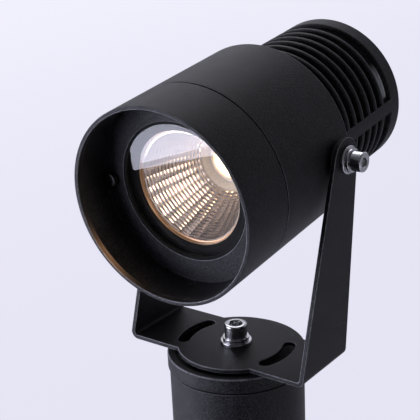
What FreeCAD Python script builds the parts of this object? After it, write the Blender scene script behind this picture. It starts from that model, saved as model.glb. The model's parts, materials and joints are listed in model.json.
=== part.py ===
import FreeCAD, Part
import math
import os

# Garden post light: a round post on a ground flange, a turning sheet-metal yoke on the post's cap,
# and a tilting spot head held between the yoke's arms. Millimetres, Z up, the origin at the middle
# of the flange's underside. The head aims towards -Y and tilts about the X direction.

# Fits
press_gap = 0.1
slide_gap = 0.3
face_gap = 0.05
running_gap = 0.08
thread_gap = 0.05
hole_gap = 0.3

# Post tube and ground flange
post_d = 60.0
post_wall = 2.5
post_length = 305.0
flange_d = 110.0
flange_t = 6.0
flange_chamfer = 1.5
anchor_pcd = 86.0
anchor_hole_d = 7.0
anchor_count = 4
flange_spigot_h = 24.0
cable_way_d = 20.0
ground_grommet_bore_d = 8.0
ground_grommet_h = 8.0
ground_grommet_lift = 2.0

# Post cap
cap_overhang = 0.75
cap_side_h = 6.7
cap_rim_t = 3.2
cap_recess = 4.2
cap_floor_t = 4.0
cap_chamfer = 0.6
cap_spigot_h = 20.0
cap_spigot_wall = 3.5
cap_boss_d = 26.0
cap_stem_d = 18.0

# Set screws that hold the tube on its two spigots
set_screw_d = 5.0
set_screw_hex = 2.5
set_screw_hex_depth = 1.6
set_screw_inset = 0.3
ground_screw_h = 12.0
ground_screw_angles = (30.0, 150.0, 270.0)
cap_screw_drop = 10.0
cap_screw_angles = (90.0, 170.0)

# Lead-in bush at the back of the post
bush_drop = 55.0
bush_d = 16.0
bush_neck_d = 11.8
bush_bore_d = 7.0
bush_lip_t = 1.6

# Wiring terminal inside the post
bracket_w = 24.0
bracket_h = 52.0
bracket_foot = 11.0
bracket_t = 2.0
bracket_set_back = 12.0
terminal_w = 22.0
terminal_deep = 15.0
terminal_h = 20.0
terminal_drop = 6.0
terminal_ways = 3
terminal_screw_d = 3.0
terminal_screw_head_d = 5.5
terminal_screw_head_h = 1.8
terminal_screw_grip = 6.0
bracket_screw_pitch = 14.0

# Middle cap screw of the yoke with its washers
screw_d = 6.0
screw_head_d = 10.0
screw_head_h = 6.0
screw_hex = 5.0
screw_hex_depth = 3.0
screw_head_chamfer = 0.5
spring_washer_d = 11.8
spring_washer_t = 1.6
spring_washer_slit = 0.8
flat_washer_d = 14.0
flat_washer_t = 1.6
swivel_screw_grip = 13.8

# Cap screws that the head hangs on, with their washers
pivot_screw_d = 5.0
pivot_head_d = 8.5
pivot_head_h = 5.0
pivot_hex = 4.0
pivot_hex_depth = 2.5
pivot_spring_d = 10.2
pivot_spring_t = 1.6
pivot_flat_d = 12.0
pivot_flat_t = 1.6
pivot_screw_grip = 8.5

# Yoke
plate_t = 2.0
bend_r = 1.5
disc_d = 52.0
strip_depth = 35.4
yoke_lift = 0.3
friction_washer_d = 24.0
friction_washer_t = 1.0
arm_gap = 1.6
arm_tip_r = 9.1
pivot_h = 86.5
pivot_back = 18.4
slot_r = 23.8
slot_w = 5.6
slot_half_angle = 24.0
spacer_d = 14.0
spot_face_margin = 1.0

# Head housing, measured forward from the pivot along the head's axis
tilt = 7.1
barrel_d = 84.0
barrel_front = 39.2
barrel_rear = 9.1
barrel_chamfer = 0.4
barrel_wall = 4.0
seam_gap = 0.7
tail_d = 70.5
collar_w = 1.45
fin_pitch = 6.06
groove_w = 3.6
groove_count = 7
groove_floor_d = 53.0
neck_groove_w = 6.0
neck_groove_depth = 2.5
rear_ring_w = 9.0
rear_chamfer = 1.2
web_w = 6.2
chamber_d = 45.0
led_wall_t = 8.0

# Front cowl, glass and seals
mouth = 67.0
cowl_wall = 1.8
cowl_face = 51.4
cowl_flange_t = 4.0
cowl_chamfer = 0.5
opening_d = 60.2
drain_d = 3.0
drain_ahead = 2.0
cowl_gasket_t = 1.0
cowl_gasket_w = 5.5
cowl_screw_d = 4.0
cowl_screw_head_d = 7.0
cowl_screw_head_h = 2.6
cowl_screw_hex = 2.5
cowl_screw_hex_depth = 1.4
cowl_screw_grip = 7.0
glass_inset = 0.2
glass_flange_t = 2.0
glass_flange_d = 66.8
glass_chamfer = 0.4
seal_w = 0.7
seal_t = 0.5
glass_gasket_t = 0.6
glass_gasket_bore_d = 50.0

# Reflector and lamp
reflector_mouth_d = 48.2
reflector_throat_d = 25.6
reflector_depth = 25.8
reflector_wall = 1.0
reflector_bulge = 1.7
reflector_lip_w = 1.6
holder_d = 36.0
holder_h = 3.8
holder_mouth_d = 24.0
holder_throat_d = 18.0
holder_screw_r = 15.1
holder_screw_d = 3.0
holder_screw_head_d = 5.4
holder_screw_head_h = 1.6
holder_screw_grip = 4.5
board_w = 24.0
board_t = 1.5
pad_t = 0.3
emitter_d = 17.0
emitter_t = 0.6
lead_d = 1.8
lead_pitch = 2.6
lead_r = 16.4
lead_hole_d = 6.0

# Driver inside the tail
driver_wall = 1.5
driver_space = 5.0
driver_length = 52.0
circuit_t = 1.6
circuit_drop = 6.0
circuit_w = 38.0
circuit_length = 46.0
coil_size = (18.0, 16.0, 14.0)
coil_back = 18.0
capacitor_d = 10.0
capacitor_h = 12.0
capacitor_pitch = 16.0
capacitor_back = 36.0

# Rear cover and cable gland
cover_d = 60.0
cover_t = 4.0
cover_gasket_t = 0.8
cover_gasket_w = 1.5
cover_screw_d = 3.0
cover_screw_head_d = 5.5
cover_screw_head_h = 2.0
cover_screw_grip = 6.0
cover_screw_pcd = 53.0
cover_screw_count = 4
gland_d = 12.0
gland_hex = 15.0
gland_hex_h = 5.0
gland_stub = 8.0
gland_neck_d = 11.0
gland_neck_l = 6.0
gland_bore_d = 8.0
gland_nut_d = 15.0
gland_nut_l = 10.5
gland_nut_wall = 1.5
gland_exit_d = 7.0
gland_seal_bore_d = 6.0
gland_seal_t = 2.0
lock_nut_hex = 16.0
lock_nut_t = 3.0

# Heights and radii that follow from the sizes above
post_r = post_d / 2
post_bore_r = post_r - post_wall
spigot_r = post_bore_r - slide_gap
post_top = flange_t + post_length
spigot_top = flange_t + flange_spigot_h
cap_rim_top = post_top + cap_side_h
cap_floor = cap_rim_top - cap_recess
yoke_bottom = cap_rim_top + yoke_lift
yoke_top = yoke_bottom + plate_t
boss_top = yoke_bottom - friction_washer_t
barrel_r = barrel_d / 2
tail_r = tail_d / 2
arm_inside = barrel_r + arm_gap
arm_outside = arm_inside + plate_t
strip_y = strip_depth / 2
pivot = FreeCAD.Vector(0, pivot_back, yoke_top + pivot_h)
screw_r = screw_d / 2
screw_stack = flat_washer_t + spring_washer_t
pivot_r = pivot_screw_d / 2
pivot_stack = pivot_flat_t + pivot_spring_t
spacer_r = spacer_d / 2
spot_face_x = math.sqrt(barrel_r ** 2 - (spacer_r + press_gap) ** 2)

# Places along the head's axis that follow from the sizes above
shoulder = barrel_front - seam_gap / 2
cowl_rear = barrel_front + seam_gap / 2
cowl_back = cowl_face - cowl_flange_t
nose_front = cowl_back - cowl_gasket_t
glass_shoulder = cowl_back - seal_t
glass_back = glass_shoulder - glass_flange_t
ledge = glass_back - glass_gasket_t
holder_front = ledge - reflector_depth
led_wall = holder_front - holder_h
chamber_front = led_wall - led_wall_t
board_back = led_wall + pad_t
board_front = board_back + board_t
cowl_bore_r = barrel_r - cowl_wall
nose_r = cowl_bore_r - slide_gap
cavity_r = barrel_r - barrel_wall
cavity_front = shoulder - cowl_wall
glass_flange_r = glass_flange_d / 2
glass_pocket_r = glass_flange_r + slide_gap
reflector_lip_r = reflector_mouth_d / 2 + reflector_lip_w
cowl_screw_r = cowl_bore_r - slide_gap - cowl_screw_head_d / 2
first_groove = -barrel_rear - collar_w
last_groove = first_groove - (groove_count - 1) * fin_pitch - groove_w
neck_front = last_groove - (fin_pitch - groove_w)
neck_back = neck_front - neck_groove_w
tail_end = neck_back - rear_ring_w
cover_front = tail_end + cover_t
cover_seat = cover_front + cover_gasket_t
chamber_r = chamber_d / 2
driver_r = chamber_r - slide_gap
driver_front = chamber_front - driver_space
driver_floor = driver_front - driver_wall
gland_back = tail_end - gland_hex_h
gland_nut_front = gland_back - slide_gap
gland_nut_back = gland_nut_front - gland_nut_l

ORIGIN = FreeCAD.Vector(0, 0, 0)
X = FreeCAD.Vector(1, 0, 0)
Y = FreeCAD.Vector(0, 1, 0)
Z = FreeCAD.Vector(0, 0, 1)
FORWARD = FreeCAD.Vector(0, -1, 0)


def upright(outline):
    """Solid turned about the post's axis from (radius, height) points."""
    points = [FreeCAD.Vector(r, 0, z) for r, z in outline]
    return Part.Face(Part.makePolygon(points + points[:1])).revolve(ORIGIN, Z, 360)


def turned(outline):
    """Solid turned about the head's axis from (forward, radius) points."""
    points = [FreeCAD.Vector(0, -s, r) for s, r in outline]
    return Part.Face(Part.makePolygon(points + points[:1])).revolve(ORIGIN, Y, 360)


def along(radius, back, front, x=0.0, z=0.0):
    """Round bar along the head's axis between two places on it."""
    return Part.makeCylinder(radius, front - back, FreeCAD.Vector(x, -back, z), FORWARD)


def ring(outer_r, inner_r, back, front):
    """Plain ring about the head's axis."""
    return turned([(back, inner_r), (front, inner_r), (front, outer_r), (back, outer_r)])


def block(x0, x1, y0, y1, z0, z1):
    """Box between two corners."""
    return Part.makeBox(x1 - x0, y1 - y0, z1 - z0, FreeCAD.Vector(x0, y0, z0))


def hexagon(across, height, bottom=0.0):
    """Hexagonal bar standing on the height named bottom."""
    corner = across / math.sqrt(3)
    angles = [math.radians(60 * i) for i in range(6)]
    points = [FreeCAD.Vector(corner * math.cos(a), corner * math.sin(a), bottom) for a in angles]
    return Part.Face(Part.makePolygon(points + points[:1])).extrude(Z * height)


def washer(outer_d, inner_d, thickness, bottom=0.0):
    """Flat washer about Z that lies on the height named bottom."""
    place = FreeCAD.Vector(0, 0, bottom)
    disc = Part.makeCylinder(outer_d / 2, thickness, place)
    return disc.cut(Part.makeCylinder(inner_d / 2, thickness, place))


def spring_washer(outer_d, inner_d, thickness, bottom):
    """Split lock washer, pressed flat, about Z."""
    half = spring_washer_slit / 2
    slit = block(0, outer_d, -half, half, bottom, bottom + thickness)
    return washer(outer_d, inner_d, thickness, bottom).cut(slit)


def headed_screw(shank_d, grip, head_d, head_h, hex_across, hex_depth, chamfer=0.0):
    """Screw about Z whose head stands on the height zero and whose shank hangs below it."""
    head_r = head_d / 2
    outline = [(0, -grip), (shank_d / 2, -grip), (shank_d / 2, 0), (head_r, 0)]
    outline += [(head_r, head_h - chamfer), (head_r - chamfer, head_h)] if chamfer else [(head_r, head_h)]
    outline += [(0, head_h)]
    return upright(outline).cut(hexagon(hex_across, hex_depth, head_h - hex_depth))


def set_screw(length):
    """Headless screw about Z with its point at the height zero."""
    body = Part.makeCylinder(set_screw_d / 2, length)
    return body.cut(hexagon(set_screw_hex, set_screw_hex_depth, length - set_screw_hex_depth))


def moved(shape, x=0.0, y=0.0, z=0.0):
    """Copy of a shape shifted by a distance."""
    copy = shape.copy()
    copy.translate(FreeCAD.Vector(x, y, z))
    return copy


def turned_by(shape, axis, angle):
    """Copy of a shape turned about an axis through the origin."""
    copy = shape.copy()
    copy.rotate(ORIGIN, axis, angle)
    return copy


def pointing_back(shape, s, x=0.0, z=0.0):
    """Copy of a shape about Z laid along the head's axis, its top to the rear, at a place on it."""
    return moved(turned_by(shape, X, -90), x, -s, z)


def pointing_forward(shape, s, x=0.0, z=0.0):
    """Copy of a shape about Z laid along the head's axis, its top to the front, at a place on it."""
    return moved(turned_by(shape, X, 90), x, -s, z)


def both_sides(shape):
    """A shape on the right of the head and its mirror image on the left."""
    return [shape, shape.mirror(ORIGIN, X)]


def on_circle(shape, radius, angles):
    """Copies of a shape about Z, shifted out by a radius and turned to each angle."""
    return [turned_by(moved(shape, radius), Z, angle) for angle in angles]


def evenly(count, start=0.0):
    """Angles of a number of places spread evenly round a circle."""
    return [start + 360.0 * i / count for i in range(count)]


def cut_all(shape, tools):
    """Shape with every tool taken out of it."""
    return shape.cut(Part.makeCompound(tools))


def fuse_all(shapes):
    """One solid from shapes that share faces or overlap."""
    return shapes[0].fuse(shapes[1:]).removeSplitter()


def save(name, shape, in_head=False):
    """Writes one node; pieces of the head are tilted and lifted to the pivot first."""
    solids = shape if isinstance(shape, list) else [shape]
    if in_head:
        solids = [moved(turned_by(s, X, tilt), pivot.x, pivot.y, pivot.z) for s in solids]
    result = solids[0] if len(solids) == 1 else Part.makeCompound(solids)
    result.exportStep("parts/" + name + ".step")


def radial_hole(diameter, height, angle):
    """Round cutter across one wall of the post, at an angle from +X."""
    bar = Part.makeCylinder(diameter / 2, post_r, FreeCAD.Vector(post_r / 2, 0, height), X)
    return turned_by(bar, Z, angle)


def make_set_screws(height, angles):
    """Set screws through the post's wall that press on the spigot inside it."""
    length = post_r - set_screw_inset - spigot_r - face_gap
    screw = turned_by(set_screw(length), Y, 90)
    return on_circle(moved(screw, 0, 0, height), spigot_r + face_gap, angles)


def make_base_flange():
    """Ground flange with its spigot, anchor holes and cable way."""
    flange_r = flange_d / 2
    cable_r = cable_way_d / 2
    outline = [(cable_r, 0), (flange_r, 0), (flange_r, flange_t - flange_chamfer)]
    outline += [(flange_r - flange_chamfer, flange_t), (spigot_r, flange_t)]
    outline += [(spigot_r, spigot_top), (cable_r, spigot_top)]
    anchor = Part.makeCylinder(anchor_hole_d / 2, flange_t)
    holes = on_circle(anchor, anchor_pcd / 2, evenly(anchor_count, 45))
    holes += [moved(hole, 0, 0, spigot_top - terminal_screw_grip) for hole in bracket_screw_holes(thread_gap)]
    return cut_all(upright(outline), holes)


def make_ground_grommet():
    """Rubber grommet in the flange's cable way."""
    outer = cable_way_d - 2 * press_gap
    return washer(outer, ground_grommet_bore_d, ground_grommet_h, ground_grommet_lift)


def make_post_tube():
    """Post tube with the tapped holes of its set screws and the hole of the lead-in bush."""
    ground_z = flange_t + ground_screw_h
    cap_z = post_top - cap_screw_drop
    hole_d = set_screw_d + 2 * thread_gap
    tools = [radial_hole(hole_d, ground_z, angle) for angle in ground_screw_angles]
    tools += [radial_hole(hole_d, cap_z, angle) for angle in cap_screw_angles]
    tools += [radial_hole(bush_neck_d + 2 * press_gap, post_top - bush_drop, 90)]
    return cut_all(moved(washer(post_d, 2 * post_bore_r, post_length), 0, 0, flange_t), tools)


def make_lead_in_bush():
    """Rubber bush with a lip on each side of the post's wall."""
    height = post_top - bush_drop
    low = height - bush_d
    tall = 2 * bush_d
    inner_lip = washer(2 * (post_bore_r - press_gap), 2 * (post_bore_r - press_gap - bush_lip_t), tall, low)
    outer_lip = washer(2 * (post_r + press_gap + bush_lip_t), 2 * (post_r + press_gap), tall, low)
    wall = washer(2 * (post_r + press_gap), 2 * (post_bore_r - press_gap), tall, low)
    lips = [radial_hole(bush_d, height, 90).common(lip) for lip in (inner_lip, outer_lip)]
    neck = radial_hole(bush_neck_d, height, 90).common(wall)
    return fuse_all([neck] + lips).cut(radial_hole(bush_bore_d, height, 90))


def bracket_screw_holes(gap):
    """Cutters for the terminal bracket's two screws, standing on the height zero."""
    y = bracket_set_back + bracket_t + (bracket_foot - bracket_t) / 2
    hole = Part.makeCylinder(terminal_screw_d / 2 + gap, terminal_screw_grip)
    return [moved(hole, side * bracket_screw_pitch / 2, y) for side in (-1, 1)]


def make_terminal_bracket():
    """Bent bracket on the flange's spigot that carries the wiring terminal."""
    half = bracket_w / 2
    back = bracket_set_back + bracket_t
    wall = block(-half, half, bracket_set_back, back, spigot_top, spigot_top + bracket_h)
    foot = block(-half, half, bracket_set_back, bracket_set_back + bracket_foot, spigot_top, spigot_top + bracket_t)
    holes = [moved(hole, 0, 0, spigot_top) for hole in bracket_screw_holes(running_gap)]
    return cut_all(fuse_all([wall, foot]), holes)


def make_bracket_screws():
    """The two screws that hold the terminal bracket down."""
    y = bracket_set_back + bracket_t + (bracket_foot - bracket_t) / 2
    screw = headed_screw(terminal_screw_d, terminal_screw_grip, terminal_screw_head_d, terminal_screw_head_h,
                         terminal_screw_d / 2, terminal_screw_head_h / 2)
    z = spigot_top + bracket_t
    return [moved(screw, side * bracket_screw_pitch / 2, y, z) for side in (-1, 1)]


def make_terminal_block():
    """Wiring terminal with one round entry for each way."""
    half = terminal_w / 2
    top = spigot_top + bracket_h - terminal_drop
    front = bracket_set_back - terminal_deep
    body = block(-half, half, front, bracket_set_back, top - terminal_h, top)
    pitch = terminal_w / terminal_ways
    entry_r = pitch / 4
    middle = front + terminal_deep / 2
    places = [(i + 0.5) * pitch - half for i in range(terminal_ways)]
    entries = [Part.makeCylinder(entry_r, terminal_h, FreeCAD.Vector(x, middle, top - terminal_h)) for x in places]
    return cut_all(body, entries)


def make_post_cap():
    """Cap with a recessed top, a middle boss for the yoke and a spigot inside the tube."""
    rim_r = post_r + cap_overhang
    recess_r = rim_r - cap_rim_t
    boss_r = cap_boss_d / 2
    stem_r = cap_stem_d / 2
    floor_bottom = cap_floor - cap_floor_t
    hollow_r = spigot_r - cap_spigot_wall
    bottom = post_top - cap_spigot_h
    stem_bottom = boss_top - swivel_screw_grip - screw_d / 2
    outline = [(0, stem_bottom), (stem_r, stem_bottom), (stem_r, floor_bottom), (hollow_r, floor_bottom)]
    outline += [(hollow_r, bottom), (spigot_r, bottom), (spigot_r, post_top), (rim_r, post_top)]
    outline += [(rim_r, cap_rim_top - cap_chamfer), (rim_r - cap_chamfer, cap_rim_top)]
    outline += [(recess_r, cap_rim_top), (recess_r, cap_floor), (boss_r, cap_floor), (boss_r, boss_top)]
    outline += [(0, boss_top)]
    depth = swivel_screw_grip + screw_d / 4
    hole = Part.makeCylinder(screw_r + thread_gap, depth, FreeCAD.Vector(0, 0, boss_top - depth))
    return upright(outline).cut(hole)


def make_swivel_screw():
    """Middle screw that the yoke turns on."""
    grip = screw_stack + face_gap + plate_t + friction_washer_t + swivel_screw_grip
    screw = headed_screw(screw_d, grip, screw_head_d, screw_head_h, screw_hex, screw_hex_depth, screw_head_chamfer)
    return moved(screw, 0, 0, yoke_top + face_gap + screw_stack)


def arc_slot():
    """Cutter for one curved slot of the yoke's disc, about the +X direction."""
    inner_r = slot_r - slot_w / 2
    outer_r = slot_r + slot_w / 2
    end = math.radians(slot_half_angle)

    def at(radius, angle):
        return FreeCAD.Vector(radius * math.cos(angle), radius * math.sin(angle), yoke_bottom)

    past_end = end + slot_w / 2 / slot_r
    edges = [
        Part.Arc(at(inner_r, -end), at(inner_r, 0), at(inner_r, end)),
        Part.Arc(at(inner_r, end), at(slot_r, past_end), at(outer_r, end)),
        Part.Arc(at(outer_r, end), at(outer_r, 0), at(outer_r, -end)),
        Part.Arc(at(outer_r, -end), at(slot_r, -past_end), at(inner_r, -end)),
    ]
    return Part.Face(Part.Wire([edge.toShape() for edge in edges])).extrude(Z * plate_t)


def tangent_point(y, z, side):
    """Where a line from a point (y, z) touches the arm's round tip, on its front or rear side."""
    dy = y - pivot.y
    dz = z - pivot.z
    swing = math.acos(arm_tip_r / math.hypot(dy, dz))
    angle = math.atan2(dz, dy) + side * swing
    return pivot.y + arm_tip_r * math.cos(angle), pivot.z + arm_tip_r * math.sin(angle)


def make_arm():
    """Right arm of the yoke: a plate that leans back and narrows to a round tip about the pivot."""
    foot_z = yoke_top + bend_r
    front = tangent_point(-strip_y, foot_z, -1)
    rear = tangent_point(strip_y, foot_z, 1)

    def at(place):
        return FreeCAD.Vector(arm_inside, place[0], place[1])

    tip = (pivot.y, pivot.z + arm_tip_r)
    edges = [
        Part.LineSegment(at((strip_y, foot_z)), at((-strip_y, foot_z))),
        Part.LineSegment(at((-strip_y, foot_z)), at(front)),
        Part.Arc(at(front), at(tip), at(rear)),
        Part.LineSegment(at(rear), at((strip_y, foot_z))),
    ]
    plate = Part.Face(Part.Wire([edge.toShape() for edge in edges])).extrude(X * plate_t)
    place = FreeCAD.Vector(arm_inside, pivot.y, pivot.z)
    return plate.cut(Part.makeCylinder(pivot_r + running_gap, plate_t, place, X))


def make_bend():
    """Quarter bend between the yoke's disc and its right arm."""
    middle = FreeCAD.Vector(arm_inside - bend_r, -strip_y, yoke_top + bend_r)
    outer = Part.makeCylinder(bend_r + plate_t, strip_depth, middle, Y)
    inner = Part.makeCylinder(bend_r, strip_depth, middle, Y)
    quarter = block(middle.x, arm_outside, -strip_y, strip_y, yoke_bottom, middle.z)
    return outer.cut(inner).common(quarter)


def make_yoke():
    """Bent sheet-metal yoke: disc, two strips, two bends and two arms in one piece."""
    disc = Part.makeCylinder(disc_d / 2, plate_t, FreeCAD.Vector(0, 0, yoke_bottom))
    reach = arm_inside - bend_r
    strip = block(-reach, reach, -strip_y, strip_y, yoke_bottom, yoke_top)
    yoke = fuse_all([disc, strip] + both_sides(make_bend()) + both_sides(make_arm()))
    hole = Part.makeCylinder(screw_r + running_gap, plate_t, FreeCAD.Vector(0, 0, yoke_bottom))
    return cut_all(yoke, both_sides(arc_slot()) + [hole])


def groove_spans():
    """Rear end, front end and floor radius of each groove of the tail, from the rear forward."""
    neck = (neck_back, neck_front, tail_r - neck_groove_depth)
    fronts = [first_groove - i * fin_pitch for i in reversed(range(groove_count))]
    return [neck] + [(front - groove_w, front, groove_floor_d / 2) for front in fronts]


def make_webs():
    """Bars that fill the tail's grooves along each side, in line with the pivot."""
    slab = block(-tail_r, tail_r, barrel_rear, -tail_end, -web_w / 2, web_w / 2)
    return [ring(tail_r, floor_r, back, front).common(slab) for back, front, floor_r in groove_spans()]


def make_housing():
    """Cast housing: barrel, nose for the cowl, lamp wall, finned tail and driver chamber in one piece."""
    outline = [(chamber_front, 0), (chamber_front, chamber_r), (cover_seat, chamber_r)]
    outline += [(cover_seat, cover_d / 2 + slide_gap), (tail_end, cover_d / 2 + slide_gap)]
    outline += [(tail_end, tail_r - rear_chamfer), (tail_end + rear_chamfer, tail_r)]
    for back, front, floor_r in groove_spans():
        outline += [(back, tail_r), (back, floor_r), (front, floor_r), (front, tail_r)]
    outline += [(-barrel_rear, tail_r), (-barrel_rear, barrel_r - barrel_chamfer)]
    outline += [(barrel_chamfer - barrel_rear, barrel_r)]
    outline += [(shoulder, barrel_r), (shoulder, nose_r), (nose_front, nose_r), (nose_front, glass_pocket_r)]
    outline += [(ledge, glass_pocket_r), (ledge, reflector_lip_r + slide_gap)]
    outline += [(cavity_front, reflector_lip_r + slide_gap), (cavity_front, cavity_r), (led_wall, cavity_r)]
    outline += [(led_wall, 0)]
    spot_r = spacer_r + spot_face_margin
    tools = both_sides(Part.makeCylinder(spot_r, arm_gap + spot_r, FreeCAD.Vector(spot_face_x, 0, 0), X))
    drill_x = spot_face_x - pivot_screw_grip - pivot_screw_d / 4
    tools += both_sides(Part.makeCylinder(pivot_r + thread_gap, barrel_r, FreeCAD.Vector(drill_x, 0, 0), X))
    drill = cowl_screw_grip - cowl_gasket_t + cowl_screw_d / 4
    tools += both_sides(along(cowl_screw_d / 2 + thread_gap, nose_front - drill, nose_front, cowl_screw_r))
    tools += [along(lead_hole_d / 2, chamber_front, led_wall, 0, lead_r)]
    holder_drill = along(holder_screw_d / 2 + thread_gap, led_wall - holder_screw_grip, led_wall, holder_screw_r)
    tools += both_sides(holder_drill)
    tools += cover_screw_bars(cover_screw_d / 2 + thread_gap, cover_seat, cover_screw_grip)
    return cut_all(turned(outline).fuse(make_webs()), tools)


def make_cowl():
    """Front cowl with its inner flange, screw holes and drain."""
    opening_r = opening_d / 2
    outline = [(cowl_back, opening_r), (cowl_face, opening_r), (cowl_face, cowl_bore_r)]
    outline += [(mouth - cowl_chamfer, cowl_bore_r), (mouth, cowl_bore_r + cowl_chamfer)]
    outline += [(mouth, barrel_r - cowl_chamfer), (mouth - cowl_chamfer, barrel_r)]
    outline += [(cowl_rear, barrel_r), (cowl_rear, cowl_bore_r), (cowl_back, cowl_bore_r)]
    tools = both_sides(along(cowl_screw_d / 2 + running_gap, cowl_back, cowl_face, cowl_screw_r))
    drain_y = -(cowl_face + drain_ahead)
    tools += [Part.makeCylinder(drain_d / 2, barrel_r, FreeCAD.Vector(0, drain_y, -cavity_r), -Z)]
    return cut_all(turned(outline), tools)


def make_cowl_screws():
    """Screws inside the cowl that hold it to the housing's nose."""
    grip = cowl_flange_t + cowl_screw_grip
    screw = headed_screw(cowl_screw_d, grip, cowl_screw_head_d, cowl_screw_head_h, cowl_screw_hex,
                         cowl_screw_hex_depth)
    return both_sides(pointing_forward(screw, cowl_face, cowl_screw_r))


def make_cowl_gasket():
    """Flat gasket between the cowl's flange and the housing's nose."""
    flat = ring(nose_r, nose_r - cowl_gasket_w, nose_front, cowl_back)
    holes = both_sides(along(cowl_screw_d / 2 + running_gap, nose_front, cowl_back, cowl_screw_r))
    return cut_all(flat, holes)


def make_glass():
    """Stepped front glass, held by its wider rear step."""
    front = cowl_face - glass_inset
    boss_r = opening_d / 2 - 2 * press_gap - seal_w
    outline = [(glass_back, 0), (glass_back, glass_flange_r), (glass_shoulder, glass_flange_r)]
    outline += [(glass_shoulder, boss_r), (front - glass_chamfer, boss_r), (front, boss_r - glass_chamfer)]
    outline += [(front, 0)]
    return turned(outline)


def make_glass_seal():
    """Angled rubber ring between the glass and the cowl's opening."""
    outer_r = opening_d / 2 - press_gap
    inner_r = outer_r - seal_w
    front = cowl_face - 2 * glass_inset
    outline = [(glass_shoulder, inner_r), (front, inner_r), (front, outer_r), (cowl_back, outer_r)]
    outline += [(cowl_back, glass_flange_r), (glass_shoulder, glass_flange_r)]
    return turned(outline)


def make_reflector():
    """Deep bowl between the lamp holder and the glass, with a flat lip at its mouth."""
    mouth_r = reflector_mouth_d / 2
    throat_r = reflector_throat_d / 2
    lip_back = ledge - reflector_wall
    half_s = (ledge + holder_front) / 2
    half_r = (mouth_r + throat_r) / 2 + reflector_bulge

    def at(s, r):
        return FreeCAD.Vector(0, -s, r)

    outer_throat = at(holder_front, throat_r + reflector_wall)
    outer_mouth = at(lip_back, mouth_r + reflector_wall)
    edges = [
        Part.Arc(at(holder_front, throat_r), at(half_s, half_r), at(ledge, mouth_r)),
        Part.LineSegment(at(ledge, mouth_r), at(ledge, reflector_lip_r)),
        Part.LineSegment(at(ledge, reflector_lip_r), at(lip_back, reflector_lip_r)),
        Part.LineSegment(at(lip_back, reflector_lip_r), outer_mouth),
        Part.Arc(outer_mouth, at(half_s, half_r + reflector_wall), outer_throat),
        Part.LineSegment(outer_throat, at(holder_front, throat_r)),
    ]
    return Part.Face(Part.Wire([edge.toShape() for edge in edges])).revolve(ORIGIN, Y, 360)


def square_plate(width, back, front):
    """Square plate across the head's axis."""
    half = width / 2
    return block(-half, half, -front, -back, -half, half)


def make_led_holder():
    """Moulded ring that presses the lamp board on the lamp wall."""
    outer_r = holder_d / 2
    outline = [(led_wall, 0), (led_wall, outer_r), (holder_front, outer_r), (holder_front, 0)]
    throat_r = holder_throat_d / 2
    cone = [(board_front, 0), (board_front, throat_r), (holder_front, holder_mouth_d / 2), (holder_front, 0)]
    tools = [turned(cone), square_plate(board_w + 2 * press_gap, led_wall, board_front)]
    shank = along(holder_screw_d / 2 + running_gap, led_wall, holder_front, holder_screw_r)
    head_back = holder_front - holder_screw_head_h - face_gap
    sink = along(holder_screw_head_d / 2 + press_gap, head_back, holder_front, holder_screw_r)
    return cut_all(turned(outline), tools + both_sides(shank) + both_sides(sink))


def make_holder_screws():
    """Sunk screws of the lamp holder."""
    seat = holder_front - holder_screw_head_h - face_gap
    grip = seat - led_wall + holder_screw_grip - face_gap
    screw = headed_screw(holder_screw_d, grip, holder_screw_head_d, holder_screw_head_h, holder_screw_d / 2,
                         holder_screw_head_h / 2)
    return both_sides(pointing_forward(screw, seat, holder_screw_r))


def make_leads():
    """Two insulated leads from the driver to the lamp holder, through the lamp wall."""
    places = [side * lead_pitch / 2 for side in (-1, 1)]
    return [along(lead_d / 2, driver_front, led_wall, x, lead_r) for x in places]


def make_driver_case():
    """Driver's cup, closed at the front, a sliding fit in the chamber."""
    back = driver_front - driver_length
    inner_r = driver_r - driver_wall
    outline = [(driver_front, 0), (driver_front, driver_r), (back, driver_r), (back, inner_r)]
    outline += [(driver_floor, inner_r), (driver_floor, 0)]
    return turned(outline)


def circuit_top():
    """Height of the circuit board's upper face against the head's axis."""
    return circuit_t / 2 - circuit_drop


def make_circuit_board():
    """Driver's circuit board, which stands against the cup's floor."""
    half = circuit_w / 2
    top = circuit_top()
    return block(-half, half, -driver_floor, circuit_length - driver_floor, top - circuit_t, top)


def make_coil():
    """Driver's transformer on the circuit board."""
    width, length, height = coil_size
    y = coil_back - driver_floor
    top = circuit_top()
    return block(-width / 2, width / 2, y - length / 2, y + length / 2, top, top + height)


def make_capacitors():
    """Driver's two capacitors, which stand on the circuit board."""
    y = capacitor_back - driver_floor
    can = Part.makeCylinder(capacitor_d / 2, capacitor_h, FreeCAD.Vector(0, y, circuit_top()))
    return [moved(can, side * capacitor_pitch / 2) for side in (-1, 1)]


def cover_screw_bars(radius, back, length):
    """Round bars at the rear cover's screws, running forward from a place on the axis."""
    angles = [math.radians(a) for a in evenly(cover_screw_count, 45)]
    out = cover_screw_pcd / 2
    return [along(radius, back, back + length, out * math.cos(a), out * math.sin(a)) for a in angles]


def make_rear_cover():
    """Disc that closes the driver chamber and carries the gland."""
    disc = along(cover_d / 2, tail_end, cover_front)
    hole = along(gland_d / 2 + thread_gap, tail_end, cover_front)
    return cut_all(disc, [hole] + cover_screw_bars(cover_screw_d / 2 + running_gap, tail_end, cover_t))


def make_cover_screws():
    """Screws of the rear cover."""
    grip = cover_t + cover_gasket_t + cover_screw_grip
    screw = headed_screw(cover_screw_d, grip, cover_screw_head_d, cover_screw_head_h, cover_screw_d / 2,
                         cover_screw_head_h / 2)
    angles = [math.radians(a) for a in evenly(cover_screw_count, 45)]
    out = cover_screw_pcd / 2
    return [pointing_back(screw, tail_end, out * math.cos(a), out * math.sin(a)) for a in angles]


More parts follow.
